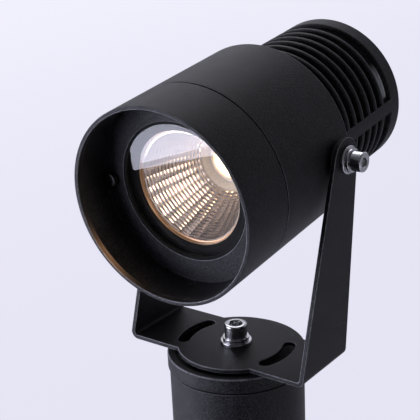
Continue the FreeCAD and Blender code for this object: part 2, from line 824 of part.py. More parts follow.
def make_gland_body():
    """Cable gland's body: hexagon, stub through the cover and threaded neck."""
    hexagon_part = pointing_back(hexagon(gland_hex, gland_hex_h), tail_end)
    stub = along(gland_d / 2, tail_end, tail_end + gland_stub)
    neck = along(gland_neck_d / 2, gland_back - gland_neck_l, gland_back)
    bore = along(gland_bore_d / 2, gland_back - gland_neck_l, tail_end + gland_stub)
    return fuse_all([hexagon_part, stub, neck]).cut(bore)


def make_gland_nut():
    """Gland's dome nut with its round exit."""
    outer_r = gland_nut_d / 2
    inner_r = gland_neck_d / 2 + thread_gap
    inside_back = gland_nut_back + gland_nut_wall
    exit_r = gland_exit_d / 2
    outline = [(gland_nut_front, inner_r), (gland_nut_front, outer_r), (inside_back, outer_r)]
    outline += [(gland_nut_back, outer_r - gland_nut_wall), (gland_nut_back, exit_r), (inside_back, exit_r)]
    outline += [(inside_back, inner_r)]
    return turned(outline)


def make_gland_seal():
    """Rubber ring inside the gland's nut."""
    back = gland_nut_back + gland_nut_wall
    return ring(gland_neck_d / 2 - press_gap, gland_seal_bore_d / 2, back, back + gland_seal_t)


def make_lock_nut():
    """Nut that holds the gland on the inside of the cover."""
    nut = pointing_forward(hexagon(lock_nut_hex, lock_nut_t), cover_front)
    return nut.cut(along(gland_d / 2 + thread_gap, cover_front, cover_front + lock_nut_t))


def make_pivot_hardware():
    """Spacers, washers and screws that hang the head between the yoke's arms."""
    outside = arm_outside + face_gap
    clear_d = pivot_screw_d + 2 * running_gap
    grip = pivot_stack + outside - spot_face_x + pivot_screw_grip
    screw = headed_screw(pivot_screw_d, grip, pivot_head_d, pivot_head_h, pivot_hex, pivot_hex_depth,
                         screw_head_chamfer)
    pieces = {
        "pivot_spacers": moved(washer(spacer_d, clear_d, arm_inside - face_gap - spot_face_x), 0, 0, spot_face_x),
        "pivot_flat_washers": washer(pivot_flat_d, clear_d, pivot_flat_t, outside),
        "pivot_spring_washers": spring_washer(pivot_spring_d, clear_d, pivot_spring_t, outside + pivot_flat_t),
        "pivot_screws": moved(screw, 0, 0, outside + pivot_stack),
    }
    for name, piece in pieces.items():
        save(name, both_sides(turned_by(piece, Y, 90)), in_head=True)


def make_post_group():
    """Writes the pieces that stand still."""
    save("base_flange", make_base_flange())
    save("base_set_screws", make_set_screws(flange_t + ground_screw_h, ground_screw_angles))
    save("base_grommet", make_ground_grommet())
    save("post_tube", make_post_tube())
    save("lead_in_bush", make_lead_in_bush())
    save("terminal_bracket", make_terminal_bracket())
    save("terminal_bracket_screws", make_bracket_screws())
    save("terminal_block", make_terminal_block())
    save("post_cap", make_post_cap())
    save("cap_set_screws", make_set_screws(post_top - cap_screw_drop, cap_screw_angles))
    clear_d = screw_d + 2 * running_gap
    save("swivel_friction_washer", washer(friction_washer_d, clear_d, friction_washer_t - face_gap, boss_top))
    save("swivel_flat_washer", washer(flat_washer_d, clear_d, flat_washer_t, yoke_top + face_gap))
    lock = spring_washer(spring_washer_d, clear_d, spring_washer_t, yoke_top + face_gap + flat_washer_t)
    save("swivel_spring_washer", lock)
    save("swivel_screw", make_swivel_screw())


def make_head_group():
    """Writes the pieces that tilt with the head."""
    save("head_housing", make_housing(), in_head=True)
    save("front_cowl", make_cowl(), in_head=True)
    save("cowl_screws", make_cowl_screws(), in_head=True)
    save("cowl_gasket", make_cowl_gasket(), in_head=True)
    save("front_glass", make_glass(), in_head=True)
    save("glass_seal", make_glass_seal(), in_head=True)
    save("glass_gasket", ring(glass_flange_r, glass_gasket_bore_d / 2, ledge, glass_back), in_head=True)
    save("reflector", make_reflector(), in_head=True)
    save("led_holder", make_led_holder(), in_head=True)
    save("led_holder_screws", make_holder_screws(), in_head=True)
    save("led_board", square_plate(board_w, board_back, board_front), in_head=True)
    save("led_emitter", along(emitter_d / 2, board_front, board_front + emitter_t), in_head=True)
    save("thermal_pad", square_plate(board_w, led_wall, board_back), in_head=True)
    save("led_leads", make_leads(), in_head=True)
    save("driver_case", make_driver_case(), in_head=True)
    save("driver_board", make_circuit_board(), in_head=True)
    save("driver_transformer", make_coil(), in_head=True)
    save("driver_capacitors", make_capacitors(), in_head=True)
    save("rear_cover", make_rear_cover(), in_head=True)
    gasket_r = chamber_r + hole_gap + cover_gasket_w
    save("rear_gasket", ring(gasket_r, chamber_r + hole_gap, cover_front, cover_seat), in_head=True)
    save("rear_cover_screws", make_cover_screws(), in_head=True)
    save("gland_body", make_gland_body(), in_head=True)
    save("gland_nut", make_gland_nut(), in_head=True)
    save("gland_seal", make_gland_seal(), in_head=True)
    save("gland_lock_nut", make_lock_nut(), in_head=True)
    make_pivot_hardware()


os.makedirs("parts", exist_ok=True)
make_post_group()
save("yoke_bracket", make_yoke())
make_head_group()
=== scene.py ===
"""Garden post light: its dressed pieces and a plain studio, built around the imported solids.

Sizes are in millimetres until a mesh is made. Meshes are in metres, in the frame of the solids.
"""

import json
import logging
import math
from collections.abc import Callable, Sequence
from dataclasses import dataclass, field, replace
from enum import Enum
from functools import cache

import bmesh
import bpy
import numpy as np
from mathutils import Matrix, Quaternion, Vector
from mathutils.geometry import delaunay_2d_cdt


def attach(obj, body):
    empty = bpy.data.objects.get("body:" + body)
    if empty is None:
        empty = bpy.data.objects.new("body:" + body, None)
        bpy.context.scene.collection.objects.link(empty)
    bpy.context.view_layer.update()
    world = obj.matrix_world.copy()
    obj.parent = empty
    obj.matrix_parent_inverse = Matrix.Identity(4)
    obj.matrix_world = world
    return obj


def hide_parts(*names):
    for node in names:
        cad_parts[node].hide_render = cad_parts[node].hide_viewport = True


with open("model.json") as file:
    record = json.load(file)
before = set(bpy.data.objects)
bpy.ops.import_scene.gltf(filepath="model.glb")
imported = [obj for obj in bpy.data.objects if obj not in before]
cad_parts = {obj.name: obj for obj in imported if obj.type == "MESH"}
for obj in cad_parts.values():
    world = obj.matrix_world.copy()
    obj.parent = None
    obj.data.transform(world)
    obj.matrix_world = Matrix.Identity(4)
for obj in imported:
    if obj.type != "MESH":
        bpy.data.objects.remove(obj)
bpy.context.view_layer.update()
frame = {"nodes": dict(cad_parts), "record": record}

Array = np.ndarray
Colour = tuple[float, float, float]
Place = tuple[float, float, float]
Corners = Sequence[Sequence[float]]
Piece = bpy.types.Object
Material = bpy.types.Material
Node = bpy.types.Node
Socket = bpy.types.NodeSocket
Tree = bpy.types.NodeTree

MM = 0.001  # Metres in a millimetre
TURN = 2 * math.pi
QUARTER = math.pi / 2
WELD = 0.0000015  # Points closer than this, in metres, are joined
SHARP = math.radians(38)  # Least angle of a sharp edge
WIDE_FACES_FIRST = 100  # Weight of wide faces in even shading
LONGEST_ROUNDING = 0.45  # Share of a side that one rounding may take
DRAIN_STEPS, HOLE_STEPS, SMALL_STEPS, SCREW_STEPS, WIDE_STEPS = 36, 48, 72, 96, 192  # Places round a turn
NOISE_MIDDLE = (0.35, 0.65)  # Range that most of a noise lies in
MIX_INPUTS = (0, 6, 7)  # Numbers of a mix node's share and two colours
MIX_RESULT = 2  # Number of its mixed colour

log = logging.getLogger("post_light")


class Slot(Enum):
    """Material slots of the record."""

    COATED_ALUMINIUM = "coated_aluminium"
    COATED_STEEL = "coated_steel"
    STAINLESS = "stainless"
    BLACK_STEEL = "black_steel"
    ZINC_STEEL = "zinc_steel"
    BLACK_RUBBER = "black_rubber"
    GREY_RUBBER = "grey_rubber"
    BLACK_NYLON = "black_nylon"
    CLEAR_GLASS = "clear_glass"
    BRIGHT_ALUMINIUM = "bright_aluminium"
    WHITE_PLASTIC = "white_plastic"
    PHOSPHOR = "phosphor"
    LAMP_PLATE = "lamp_plate"
    WIRE = "wire"
    CIRCUIT = "circuit"
    BARE_ALUMINIUM = "bare_aluminium"


class Body(Enum):
    """Moving bodies of the light."""

    POST = "post"
    YOKE = "yoke"
    HEAD = "head"


# Shapes


@dataclass(frozen=True)
class Axis:
    """Straight line that a piece is turned about."""

    origin: Place  # Point on the line
    forward: Place  # Direction of the line
    top: Place  # Direction across it that an angle of a quarter turn points to

    def ways(self) -> Array:
        """Directions forward, to the side and to the top, in rows."""
        return np.array([self.forward, np.cross(self.top, self.forward), self.top])

    def place(self, along: Array, out: Array, angle: Array) -> Array:
        """Points from distances along the axis, radii and angles about it.

        Args:
            along: Distances along the axis.
            out: Distances out from it.
            angle: Angles from its side towards its top.

        Returns:
            Points in millimetres, one row of three for each entry.
        """
        forward, side, top = self.ways()
        spoke = np.cos(angle)[..., None] * side + np.sin(angle)[..., None] * top
        return np.array(self.origin) + along[..., None] * forward + out[..., None] * spoke

    def measure(self, points: Array) -> Array:
        """Rows with the points' distances along the axis, to its side and towards its top."""
        return self.ways() @ (points - np.array(self.origin)).T

    def shifted(self, along: float = 0.0, side: float = 0.0, up: float = 0.0) -> "Axis":
        """Parallel axis, moved along itself, to its side and towards its top."""
        return replace(self, origin=tuple(np.array(self.origin) + np.array([along, side, up]) @ self.ways()))

    def reversed(self) -> "Axis":
        """Same line, pointing the other way."""
        return replace(self, forward=tuple(-np.array(self.forward)))


@dataclass(frozen=True)
class Outline:
    """Cross-section of a turned piece."""

    along: Array  # Places along the axis
    out: Array  # Radii
    edge: Array  # One where a point lies on a rounded outer edge, else zero
    mark: Array  # One where a point belongs to a marked corner, else zero
    closed: bool  # Whether the last point joins the first one

    def with_edge_share(self, share: Array) -> "Outline":
        """Same outline with its edge numbers multiplied by a share."""
        return replace(self, edge=self.edge * share)


@dataclass
class Surface:
    """Points and faces of a shape before it becomes a piece."""

    points: Array  # Places in millimetres
    quads: Array  # Corner numbers of four-sided faces
    edge: Array  # Share of each point in a rounded outer edge
    lay: Array  # Distance that turning marks follow
    tris: Array = field(default_factory=lambda: np.zeros((0, 3), int))  # Corner numbers of three-sided faces
    # Other numbers from zero to one by name: painted highlight, painted glow of the lamp, light that is off
    shares: dict[str, Array] = field(default_factory=dict)


def join(parts: Sequence[Surface]) -> Surface:
    """One surface from several, with the corner numbers shifted.

    Args:
        parts: Surfaces to join.

    Returns:
        The joined surface.
    """
    starts = np.cumsum([0] + [len(p.points) for p in parts[:-1]])
    quads = [p.quads + s for p, s in zip(parts, starts)]
    tris = [p.tris + s for p, s in zip(parts, starts)]
    columns = [[p.points for p in parts], quads, [p.edge for p in parts], [p.lay for p in parts], tris]
    return Surface(*map(np.concatenate, columns))


def rounded(
    corners: Corners, radius: float = 0.25, steps: int = 3, closed: bool = True, marked: Sequence[int] = ()
) -> Outline:
    """Outline with a circular arc at each corner.

    An arc's point is the centre of the rounding plus the two radii that touch the sides, blended by sines.

    Args:
        corners: Place along the axis, radius, and an own rounding where it differs.
        radius: Rounding of the other corners.
        steps: Parts of each arc.
        closed: Whether the last corner joins the first; if not, both ends stay sharp.
        marked: Numbers of the corners to mark.

    Returns:
        The rounded outline.
    """
    table = np.array([tuple(c) + (radius,) * (3 - len(c)) for c in corners], float)
    corner = table[:, :2]
    following = np.roll(corner, -1, 0)
    back, ahead = np.roll(corner, 1, 0) - corner, following - corner
    back_length, ahead_length = np.linalg.norm(back, axis=1), np.linalg.norm(ahead, axis=1)
    a, b = back / back_length[:, None], ahead / ahead_length[:, None]
    half = np.arccos(np.clip((a * b).sum(1), -1, 1)) / 2
    reach = np.minimum(table[:, 2] / np.tan(half), LONGEST_ROUNDING * np.minimum(back_length, ahead_length))
    middle = (a + b) / np.linalg.norm(a + b, axis=1)[:, None]
    centre = corner + middle * (reach / np.cos(half))[:, None]
    first = corner + a * reach[:, None] - centre
    final = corner + b * reach[:, None] - centre
    sweep = (math.pi - 2 * half)[:, None]
    t = np.linspace(0, 1, steps + 1)
    share_first = (np.sin((1 - t) * sweep) / np.sin(sweep))[..., None]
    share_final = (np.sin(t * sweep) / np.sin(sweep))[..., None]
    points = centre[:, None] + share_first * first[:, None] + share_final * final[:, None]
    area = (corner[:, 0] * following[:, 1] - corner[:, 1] * following[:, 0]).sum()
    outer = (a[:, 1] * b[:, 0] - a[:, 0] * b[:, 1]) * np.sign(area) > 0
    edge = (outer[:, None] * np.sin(math.pi * t)).ravel()
    mark = np.repeat(np.isin(np.arange(len(corner)), list(marked)), steps + 1)
    rows = np.column_stack([points.reshape(-1, 2), edge, mark])
    if not closed:
        ends = np.column_stack([corner[[0, -1]], np.zeros((2, 2))])
        rows = np.concatenate([ends[:1], rows[steps + 1 : -steps - 1], ends[1:]])
    return Outline(*rows.T, closed)


def grid_quads(rows: int, columns: int, wrap_rows: bool = False, wrap_columns: bool = False) -> Array:
    """Corner numbers of the faces of a grid of points.

    Args:
        rows: Rows of the grid.
        columns: Points in each row.
        wrap_rows: Whether the last row joins the first.
        wrap_columns: Whether the last column joins the first.

    Returns:
        Four numbers for each face.
    """
    r, c = np.mgrid[: rows - (not wrap_rows), : columns - (not wrap_columns)]
    below, right = (r + 1) % rows, (c + 1) % columns
    corners = [r * columns + c, below * columns + c, below * columns + right, r * columns + right]
    return np.stack(corners, -1).reshape(-1, 4)


def surface_of(points: Array, outline: Outline, out: Array, wrap: bool = True) -> Surface:
    """Surface from a grid of points whose rows follow an outline.

    Args:
        points: Grid of places.
        outline: Cross-section that the rows follow.
        out: Radii of the grid.
        wrap: Whether the last column joins the first.

    Returns:
        The surface.
    """
    rows, columns = out.shape
    quads = grid_quads(rows, columns, outline.closed, wrap)
    lay = (outline.along[:, None] + out).ravel()
    return Surface(points.reshape(-1, 3), quads, np.repeat(outline.edge, columns), lay)


def turn(
    axis: Axis, outline: Outline, steps: int = 144, ribs: int = 0, depth: float = 0.0, slit: float = 0.0,
    rise: float = 0.0,
) -> Surface:
    """Outline turned about an axis, with its marked points on a hexagon or on ribs.

    A hexagon's radius is its flat's distance over the cosine of the angle from the nearest flat. Ribs
    take a depth times a squared cosine off the radius. With a slit, the path climbs evenly from one side
    of the slit to the other.

    Args:
        axis: Line to turn about.
        outline: Cross-section; a marked point's radius is that of the hexagon's flats or the ribs' crests.
        steps: Number of places round the turn.
        ribs: Number of ribs; none makes the marked points a hexagon.
        depth: Depth between ribs.
        slit: Width of a slit at the outline's middle radius; none closes the turn.
        rise: Climb of the path over the turn.

    Returns:
        The surface, open at the faces of a slit.
    """
    gap = slit / outline.out.mean() / 2
    angle = np.linspace(gap, TURN - gap, steps, endpoint=slit > 0)
    hexagon = 1 / np.cos(np.mod(angle, TURN / 6) - TURN / 12) - 1
    change = -depth * np.cos(ribs * angle / 2) ** 2 if ribs else outline.out[:, None] * hexagon
    out = outline.out[:, None] + outline.mark[:, None] * change
    along = outline.along[:, None] + rise * (angle / TURN - 0.5)
    return surface_of(axis.place(along, out, angle), outline, out, slit == 0)


def turn_with_webs(axis: Axis, outline: Outline, web: float, crest: float, columns: int = 72) -> Surface:
    """Outline turned about an axis, with its marked grooves filled along a web on each side.

    Across a web, a marked point stays at the crest's radius. Outside it, each point's angles run from the
    web's flat face on one side to that on the other, so that the grooves end in flat walls.

    Args:
        axis: Line to turn about.
        outline: Cross-section with its grooves marked.
        web: Width of each web.
        crest: Radius of the fins.
        columns: Steps between the webs.

    Returns:
        The closed surface.
    """
    marked, out = outline.mark[:, None] > 0, outline.out[:, None]
    edge_angle = math.asin(web / 2 / crest)
    own_angle = np.where(marked, np.arcsin(np.clip(web / 2 / np.maximum(out, web), 0, 1)), edge_angle)
    across = np.array([-1.0, 0.0, 1.0]) * edge_angle + np.zeros_like(out)
    between = own_angle + np.linspace(0, 1, columns) * (math.pi - 2 * own_angle)
    half = np.concatenate([across, between], 1)
    on_web = np.arange(half.shape[1]) < across.shape[1]
    radius = np.tile(np.where(marked & on_web, crest, out), 2)
    points = axis.place(outline.along[:, None], radius, np.concatenate([half, math.pi + half], 1))
    shape = surface_of(points, outline, radius)
    shape.edge = np.tile(outline.edge[:, None] * ~(marked & on_web), 2).ravel()
    return shape


def polar(radius: float, angle: Array) -> Array:
    """Points in a plane at a radius and angles about its middle."""
    return radius * np.stack([np.cos(angle), np.sin(angle)], 1)


def inside(points: Array, loop: Array) -> Array:
    """Which points lie inside a loop: a ray from each crosses its sides an odd number of times.

    Args:
        points: Places to test.
        loop: Points of the loop.

    Returns:
        True for each place inside.
    """
    x, y = points[:, None, 0], points[:, None, 1]
    after = np.roll(loop, -1, 0)
    spans = (loop[:, 1] > y) != (after[:, 1] > y)
    rise = after[:, 1] - loop[:, 1]
    rise = np.where(rise == 0, 1e-12, rise)
    cross = loop[:, 0] + (y - loop[:, 1]) * (after[:, 0] - loop[:, 0]) / rise
    return ((spans & (x < cross)).sum(1) % 2) == 1


def inset(loop: Array, distance: float, hole: bool) -> Array:
    """Loop moved into the sheet so that each side shifts by a distance.

    A corner moves along the sum of its two sides' normals, divided by one plus the cosine between them.

    Args:
        loop: Points of the loop, anticlockwise.
        distance: Shift of each side.
        hole: Whether the sheet lies outside the loop.

    Returns:
        The moved points.
    """
    side = np.roll(loop, -1, 0) - loop
    after = np.stack([-side[:, 1], side[:, 0]], 1) / np.linalg.norm(side, axis=1)[:, None]
    before = np.roll(after, 1, 0)
    corner = (after + before) / (1 + (after * before).sum(1))[:, None]
    return loop + corner * distance * (-1 if hole else 1)


def sheet_solid(
    outer: Array, holes: Sequence[Array], creases: Array, thickness: float, rounding: float,
    bend: Callable[[Array, Array | float], Array], steps: int = 3,
) -> Surface:
    """Solid of sheet metal from a flat pattern, with rounded cut edges, bent by a given function.

    Each loop is carried round a cross-section: a quarter circle at the lower edge, the cut face and a
    quarter circle at the upper edge. The two faces are triangles between the loops' insets, and crossing
    lines keep the triangles short where the sheet bends.

    Args:
        outer: Outer loop of the pattern, anticlockwise.
        holes: Loops of the holes, anticlockwise.
        creases: Pairs of numbers of outer points to join by a line across the sheet.
        thickness: Thickness of the sheet.
        rounding: Radius of the cut edges.
        bend: Gives points from flat places and heights above the lower face.
        steps: Parts of each quarter circle.

    Returns:
        The closed surface.
    """
    t = np.linspace(0, QUARTER, steps + 1)
    depth, height = rounding * (1 - np.sin(t)), rounding * (1 - np.cos(t))
    depths = np.concatenate([depth, depth[::-1]])
    heights = np.concatenate([height, thickness - height[::-1]])
    shine = np.concatenate([np.sin(2 * t), np.sin(2 * t)[::-1]])
    loops, walls = [outer, *holes], []
    for number, loop in enumerate(loops):
        rings = np.stack([inset(loop, d, number > 0) for d in depths])
        points = bend(rings, heights[:, None])
        quads = grid_quads(len(depths), len(loop), wrap_columns=True)
        edge, lay = np.repeat(shine, len(loop)), points[..., 0].ravel()
        walls.append(Surface(points.reshape(-1, 3), quads, edge, lay))
    rims = [inset(loop, rounding, number > 0) for number, loop in enumerate(loops)]
    starts = np.cumsum([0] + [len(r) for r in rims[:-1]])
    numbers = [np.arange(len(r)) + s for r, s in zip(rims, starts)]
    lines = np.concatenate([np.stack([n, np.roll(n, -1)], 1) for n in numbers] + [creases])
    found = delaunay_2d_cdt([Vector(p) for p in np.concatenate(rims)], lines.tolist(), [], 0, 1e-6)
    flat, tris = np.array([tuple(v) for v in found[0]]), np.array(found[2])
    middle = flat[tris].mean(1)
    tris = tris[inside(middle, rims[0]) & ~np.any([inside(middle, r) for r in rims[1:]], 0)]
    none, no_quads = np.zeros(len(flat)), np.zeros((0, 4), int)
    levels = [bend(flat, level) for level in (0.0, thickness)]
    return join(walls + [Surface(points, no_quads, none, points[:, 0], tris) for points in levels])


def mesh_object(name: str, surface: Surface, fill: bool = False) -> Piece:
    """Object with a welded, outward mesh of a surface.

    Args:
        name: Name of the object.
        surface: Its shape.
        fill: Whether to close open ends.

    Returns:
        The linked object, at the origin.
    """
    mesh = bpy.data.meshes.new(name)
    corners = np.concatenate([surface.quads.ravel(), surface.tris.ravel()]).astype(np.int32)
    fours, threes = len(surface.quads), len(surface.tris)
    starts = np.concatenate([4 * np.arange(fours), 4 * fours + 3 * np.arange(threes)]).astype(np.int32)
    mesh.vertices.add(len(surface.points))
    mesh.vertices.foreach_set("co", (surface.points * MM).astype(np.float32).ravel())
    mesh.loops.add(len(corners))
    mesh.loops.foreach_set("vertex_index", corners)
    mesh.polygons.add(fours + threes)
    mesh.polygons.foreach_set("loop_start", starts)
    mesh.update(calc_edges=True)
    for title, values in {"edge": surface.edge, "lay": surface.lay, **surface.shares}.items():
        attribute = mesh.attributes.new(title, "FLOAT", "POINT")
        attribute.data.foreach_set("value", values.astype(np.float32))
    shape = bmesh.new()
    shape.from_mesh(mesh)
    bmesh.ops.remove_doubles(shape, verts=shape.verts, dist=WELD)
    bmesh.ops.dissolve_degenerate(shape, edges=shape.edges, dist=WELD)
    if fill:
        bmesh.ops.holes_fill(shape, edges=[e for e in shape.edges if e.is_boundary])
    bmesh.ops.recalc_face_normals(shape, faces=shape.faces)
    shape.to_mesh(mesh)
    shape.free()
    made = bpy.data.objects.new(name, mesh)
    bpy.context.scene.collection.objects.link(made)
    return made


def drill(piece: Piece, cutter: Surface) -> None:
    """Takes the closed shapes of a surface out of a piece's mesh.

    Args:
        piece: Piece to drill.
        cutter: Shapes to take out.
    """
    tool = mesh_object("drill", cutter)
    cut = piece.modifiers.new("holes", "BOOLEAN")
    cut.operation, cut.solver, cut.object = "DIFFERENCE", "EXACT", tool
    evaluated = piece.evaluated_get(bpy.context.evaluated_depsgraph_get())
    solid = piece.data
    piece.data = bpy.data.meshes.new_from_object(evaluated)
    piece.modifiers.remove(cut)
    bpy.data.meshes.remove(solid)
    bpy.data.meshes.remove(tool.data)


def shade(piece: Piece, sharp: float = SHARP, even: bool = True) -> None:
    """Smooth shading between sharp edges.

    Args:
        piece: Piece to shade.
        sharp: Least angle of a sharp edge.
        even: Whether wide faces keep their own direction.
    """
    mesh = piece.data
    mesh.polygons.foreach_set("use_smooth", np.ones(len(mesh.polygons), bool))
    mesh.set_sharp_from_angle(angle=sharp)
    if even:
        weighted = piece.modifiers.new("even_shading", "WEIGHTED_NORMAL")
        weighted.keep_sharp, weighted.weight = True, WIDE_FACES_FIRST


# Finishes


class Recipe:
    """Short ways to add and join the nodes of one material or group."""

    def __init__(self, tree: Tree) -> None:
        """Takes the node tree to work on."""
        self.tree = tree

    def put(self, value: object, socket: Socket) -> None:
        """Links an output to an input, or sets the input to a number or colour.

        Args:
            value: Output, number or colour.
            socket: The input.
        """
        if isinstance(value, Socket):
            self.tree.links.new(value, socket)
        else:
            socket.default_value = (*value, 1.0) if socket.type == "RGBA" else value

    def feed(self, node: Node, **values: object) -> Node:
        """Sets up a node.

        Args:
            node: The node.
            values: Its settings in small letters, and its inputs with capitals and no spaces.

        Returns:
            The node.
        """
        for name, value in values.items():
            if name.islower():
                setattr(node, name, value)
            else:
                self.put(value, node.inputs[name.replace("_", " ")])
        return node

    def node(self, kind: str, **values: object) -> Node:
        """New node of a kind, set up with values."""
        return self.feed(self.tree.nodes.new("ShaderNode" + kind), **values)

    def row(self, node: Node, values: Sequence[object], numbers: Sequence[int] = (0, 1, 2)) -> Node:
        """Sets a node's inputs by number.

        Args:
            node: The node.
            values: Outputs, numbers or colours.
            numbers: Numbers of the inputs.

        Returns:
            The node.
        """
        for number, value in zip(numbers, values):
            self.put(value, node.inputs[number])
        return node

    def maths(self, operation: str, *values: object) -> Socket:
        """Result of a calculation on sockets or numbers."""
        return self.row(self.node("Math", operation=operation), values).outputs[0]

    def blend(self, share: object, low: object, high: object) -> Socket:
        """Colour between two others."""
        made = self.node("Mix", data_type="RGBA")
        return self.row(made, (share, low, high), MIX_INPUTS).outputs[MIX_RESULT]

    def mix(self, share: Socket, first: Socket, second: Socket) -> Socket:
        """Shader between two others."""
        return self.row(self.node("MixShader"), (share, first, second)).outputs[0]

    def between(self, value: Socket, low: float, high: float, start: object, end: object) -> Socket:
        """Value carried from one range smoothly into another."""
        made = self.node("MapRange", interpolation_type="SMOOTHSTEP", Value=value)
        return self.feed(made, From_Min=low, From_Max=high, To_Min=start, To_Max=end).outputs["Result"]

    def noise(self, where: Socket, scale: object, detail: float = 2.0, rough: float = 0.5) -> Socket:
        """Height of a cloudy noise at a place."""
        return self.node("TexNoise", Vector=where, Scale=scale, Detail=detail, Roughness=rough).outputs[0]

    def share(self, name: str) -> Socket:
        """One of the piece's own numbers."""
        return self.node("Attribute", attribute_name=name).outputs["Fac"]

    def bump(self, height: Socket, strength: float, depth: float) -> Socket:
        """Normal tilted by a height."""
        return self.node("Bump", Height=height, Strength=strength, Distance=depth).outputs[0]

    def here(self) -> Socket:
        """The piece's own coordinates."""
        return self.node("TexCoord").outputs["Object"]


def blank(owner: Material | bpy.types.World) -> Recipe:
    """Recipe for a material or world whose nodes are cleared.

    Args:
        owner: The material or world.

    Returns:
        Its recipe.
    """
    owner.use_nodes = True
    owner.node_tree.nodes.clear()
    return Recipe(owner.node_tree)


def new_group(name: str, inputs: dict[str, str], outputs: dict[str, str]) -> tuple[Recipe, Node, Node]:
    """Empty shader group with named sockets.

    Args:
        name: Name of the group.
        inputs: Names of its inputs with their socket kinds.
        outputs: Names of its outputs with their socket kinds.

    Returns:
        The group's recipe, its input node and its output node.
    """
    tree = bpy.data.node_groups.new(name, "ShaderNodeTree")
    for way, sockets in (("INPUT", inputs), ("OUTPUT", outputs)):
        for title, kind in sockets.items():
            tree.interface.new_socket(title, in_out=way, socket_type="NodeSocket" + kind)
    return Recipe(tree), tree.nodes.new("NodeGroupInput"), tree.nodes.new("NodeGroupOutput")


def grain_group(
    cloud_scale: float = 0.06, speck_scale: float = 0.9, cloudy: float = 0.15,
    tones: tuple[float, float] = (0.44, 0.6), shine: tuple[float, float] = (0.3, 0.7),
) -> Tree:
    """Fine grain of a coat: cloudy colour, small bumps and uneven gloss.

    Args:
        cloud_scale: Scale of the clouds against the bumps.
        speck_scale: Scale of the specks against the bumps.
        cloudy: Share of the clouds in the colour; the rest is specks.
        tones: Heights of both at which the colour is dark and light.
        shine: Heights of the specks at which the coat is smooth and rough.

    Returns:
        The group.
    """
    recipe, given, result = new_group(
        "fine_grain",
        dict(Place="Vector", Dark="Color", Light="Color", Size="Float", Smooth="Float", Rough="Float"),
        dict(Color="Color", Roughness="Float", Height="Float"),
    )
    where, dark, light, size, smooth, rough = given.outputs[:6]
    scale = recipe.maths("DIVIDE", 1.0, size)
    clouds = recipe.noise(where, recipe.maths("MULTIPLY", scale, cloud_scale), 3.0)
    specks = recipe.noise(where, recipe.maths("MULTIPLY", scale, speck_scale))
    share = recipe.maths("MULTIPLY_ADD", clouds, cloudy, recipe.maths("MULTIPLY", specks, 1 - cloudy))
    tint = recipe.blend(recipe.between(share, *tones, 0.0, 1.0), dark, light)
    gloss = recipe.between(specks, *shine, smooth, rough)
    recipe.feed(result, Color=tint, Roughness=gloss, Height=recipe.noise(where, scale, rough=0.6))
    return recipe.tree


def edge_wear_and_highlight_group(scale: float = 700.0, gaps: tuple[float, float] = (0.3, 0.6), least: float = 0.45) -> Tree:
    """Wear on outer edges, which also paints the highlights that light lays on them: the piece's edge share,
    broken up by a small noise.

    Args:
        scale: Scale of the noise.
        gaps: Heights of the noise at which the wear and highlight are least and full.
        least: Share of the wear and highlight that is left in the gaps.

    Returns:
        The group.
    """
    inputs = dict(Place="Vector", Edge="Float", Amount="Float")
    recipe, given, result = new_group("edge_wear_and_sheen", inputs, dict(Mask="Float"))
    where, edge, amount = given.outputs[:3]
    broken = recipe.between(recipe.noise(where, scale, 3.0, 0.6), *gaps, least, 1.0)
    recipe.feed(result, Mask=recipe.maths("MULTIPLY", recipe.maths("MULTIPLY", edge, broken), amount))
    return recipe.tree


def lines_group(
    ring_scale: float = 7.0, smear_scale: float = 260.0, tones: tuple[float, float] = (0.34, 0.66)
) -> Tree:
    """Turning marks: fine rings that follow the tool's path over a turned piece.

    Args:
        ring_scale: Scale of the rings.
        smear_scale: Scale of the smears over them.
        tones: Heights at which the marks are dark and light.

    Returns:
        The group.
    """
    recipe, given, result = new_group(
        "turning_marks",
        dict(Lay="Float", Place="Vector", Smooth="Float", Rough="Float"),
        dict(Roughness="Float", Height="Float", Shade="Float"),
    )
    lay, where, smooth, rough = given.outputs[:4]
    rings = recipe.node("TexNoise", noise_dimensions="1D", W=lay, Scale=ring_scale, Detail=3.0)
    recipe.feed(rings, Roughness=0.65)
    both = recipe.maths("ADD", rings.outputs[0], recipe.noise(where, smear_scale, 3.0))
    share = recipe.between(recipe.maths("MULTIPLY", both, 0.5), *tones, 0.0, 1.0)
    gloss = recipe.between(share, 0.0, 1.0, smooth, rough)
    recipe.feed(result, Roughness=gloss, Height=rings.outputs[0], Shade=share)
    return recipe.tree


class Effects:
    """The shared effects, each built once."""

    grain = grain_group()
    rub_and_highlight = edge_wear_and_highlight_group()
    lines = lines_group()


@dataclass(frozen=True)
class Finish:
    """Base of every finish."""

    name: str  # Name of the material

    def start(self) -> tuple[Material, Recipe, Node, Socket]:
        """New material with a shader.

        Returns:
            The material, its recipe, its shader and the piece's own coordinates.
        """
        material = bpy.data.materials.new(self.name)
        recipe = blank(material)
        shader = recipe.node("BsdfPrincipled")
        recipe.node("OutputMaterial", Surface=shader.outputs[0])
        return material, recipe, shader, recipe.here()


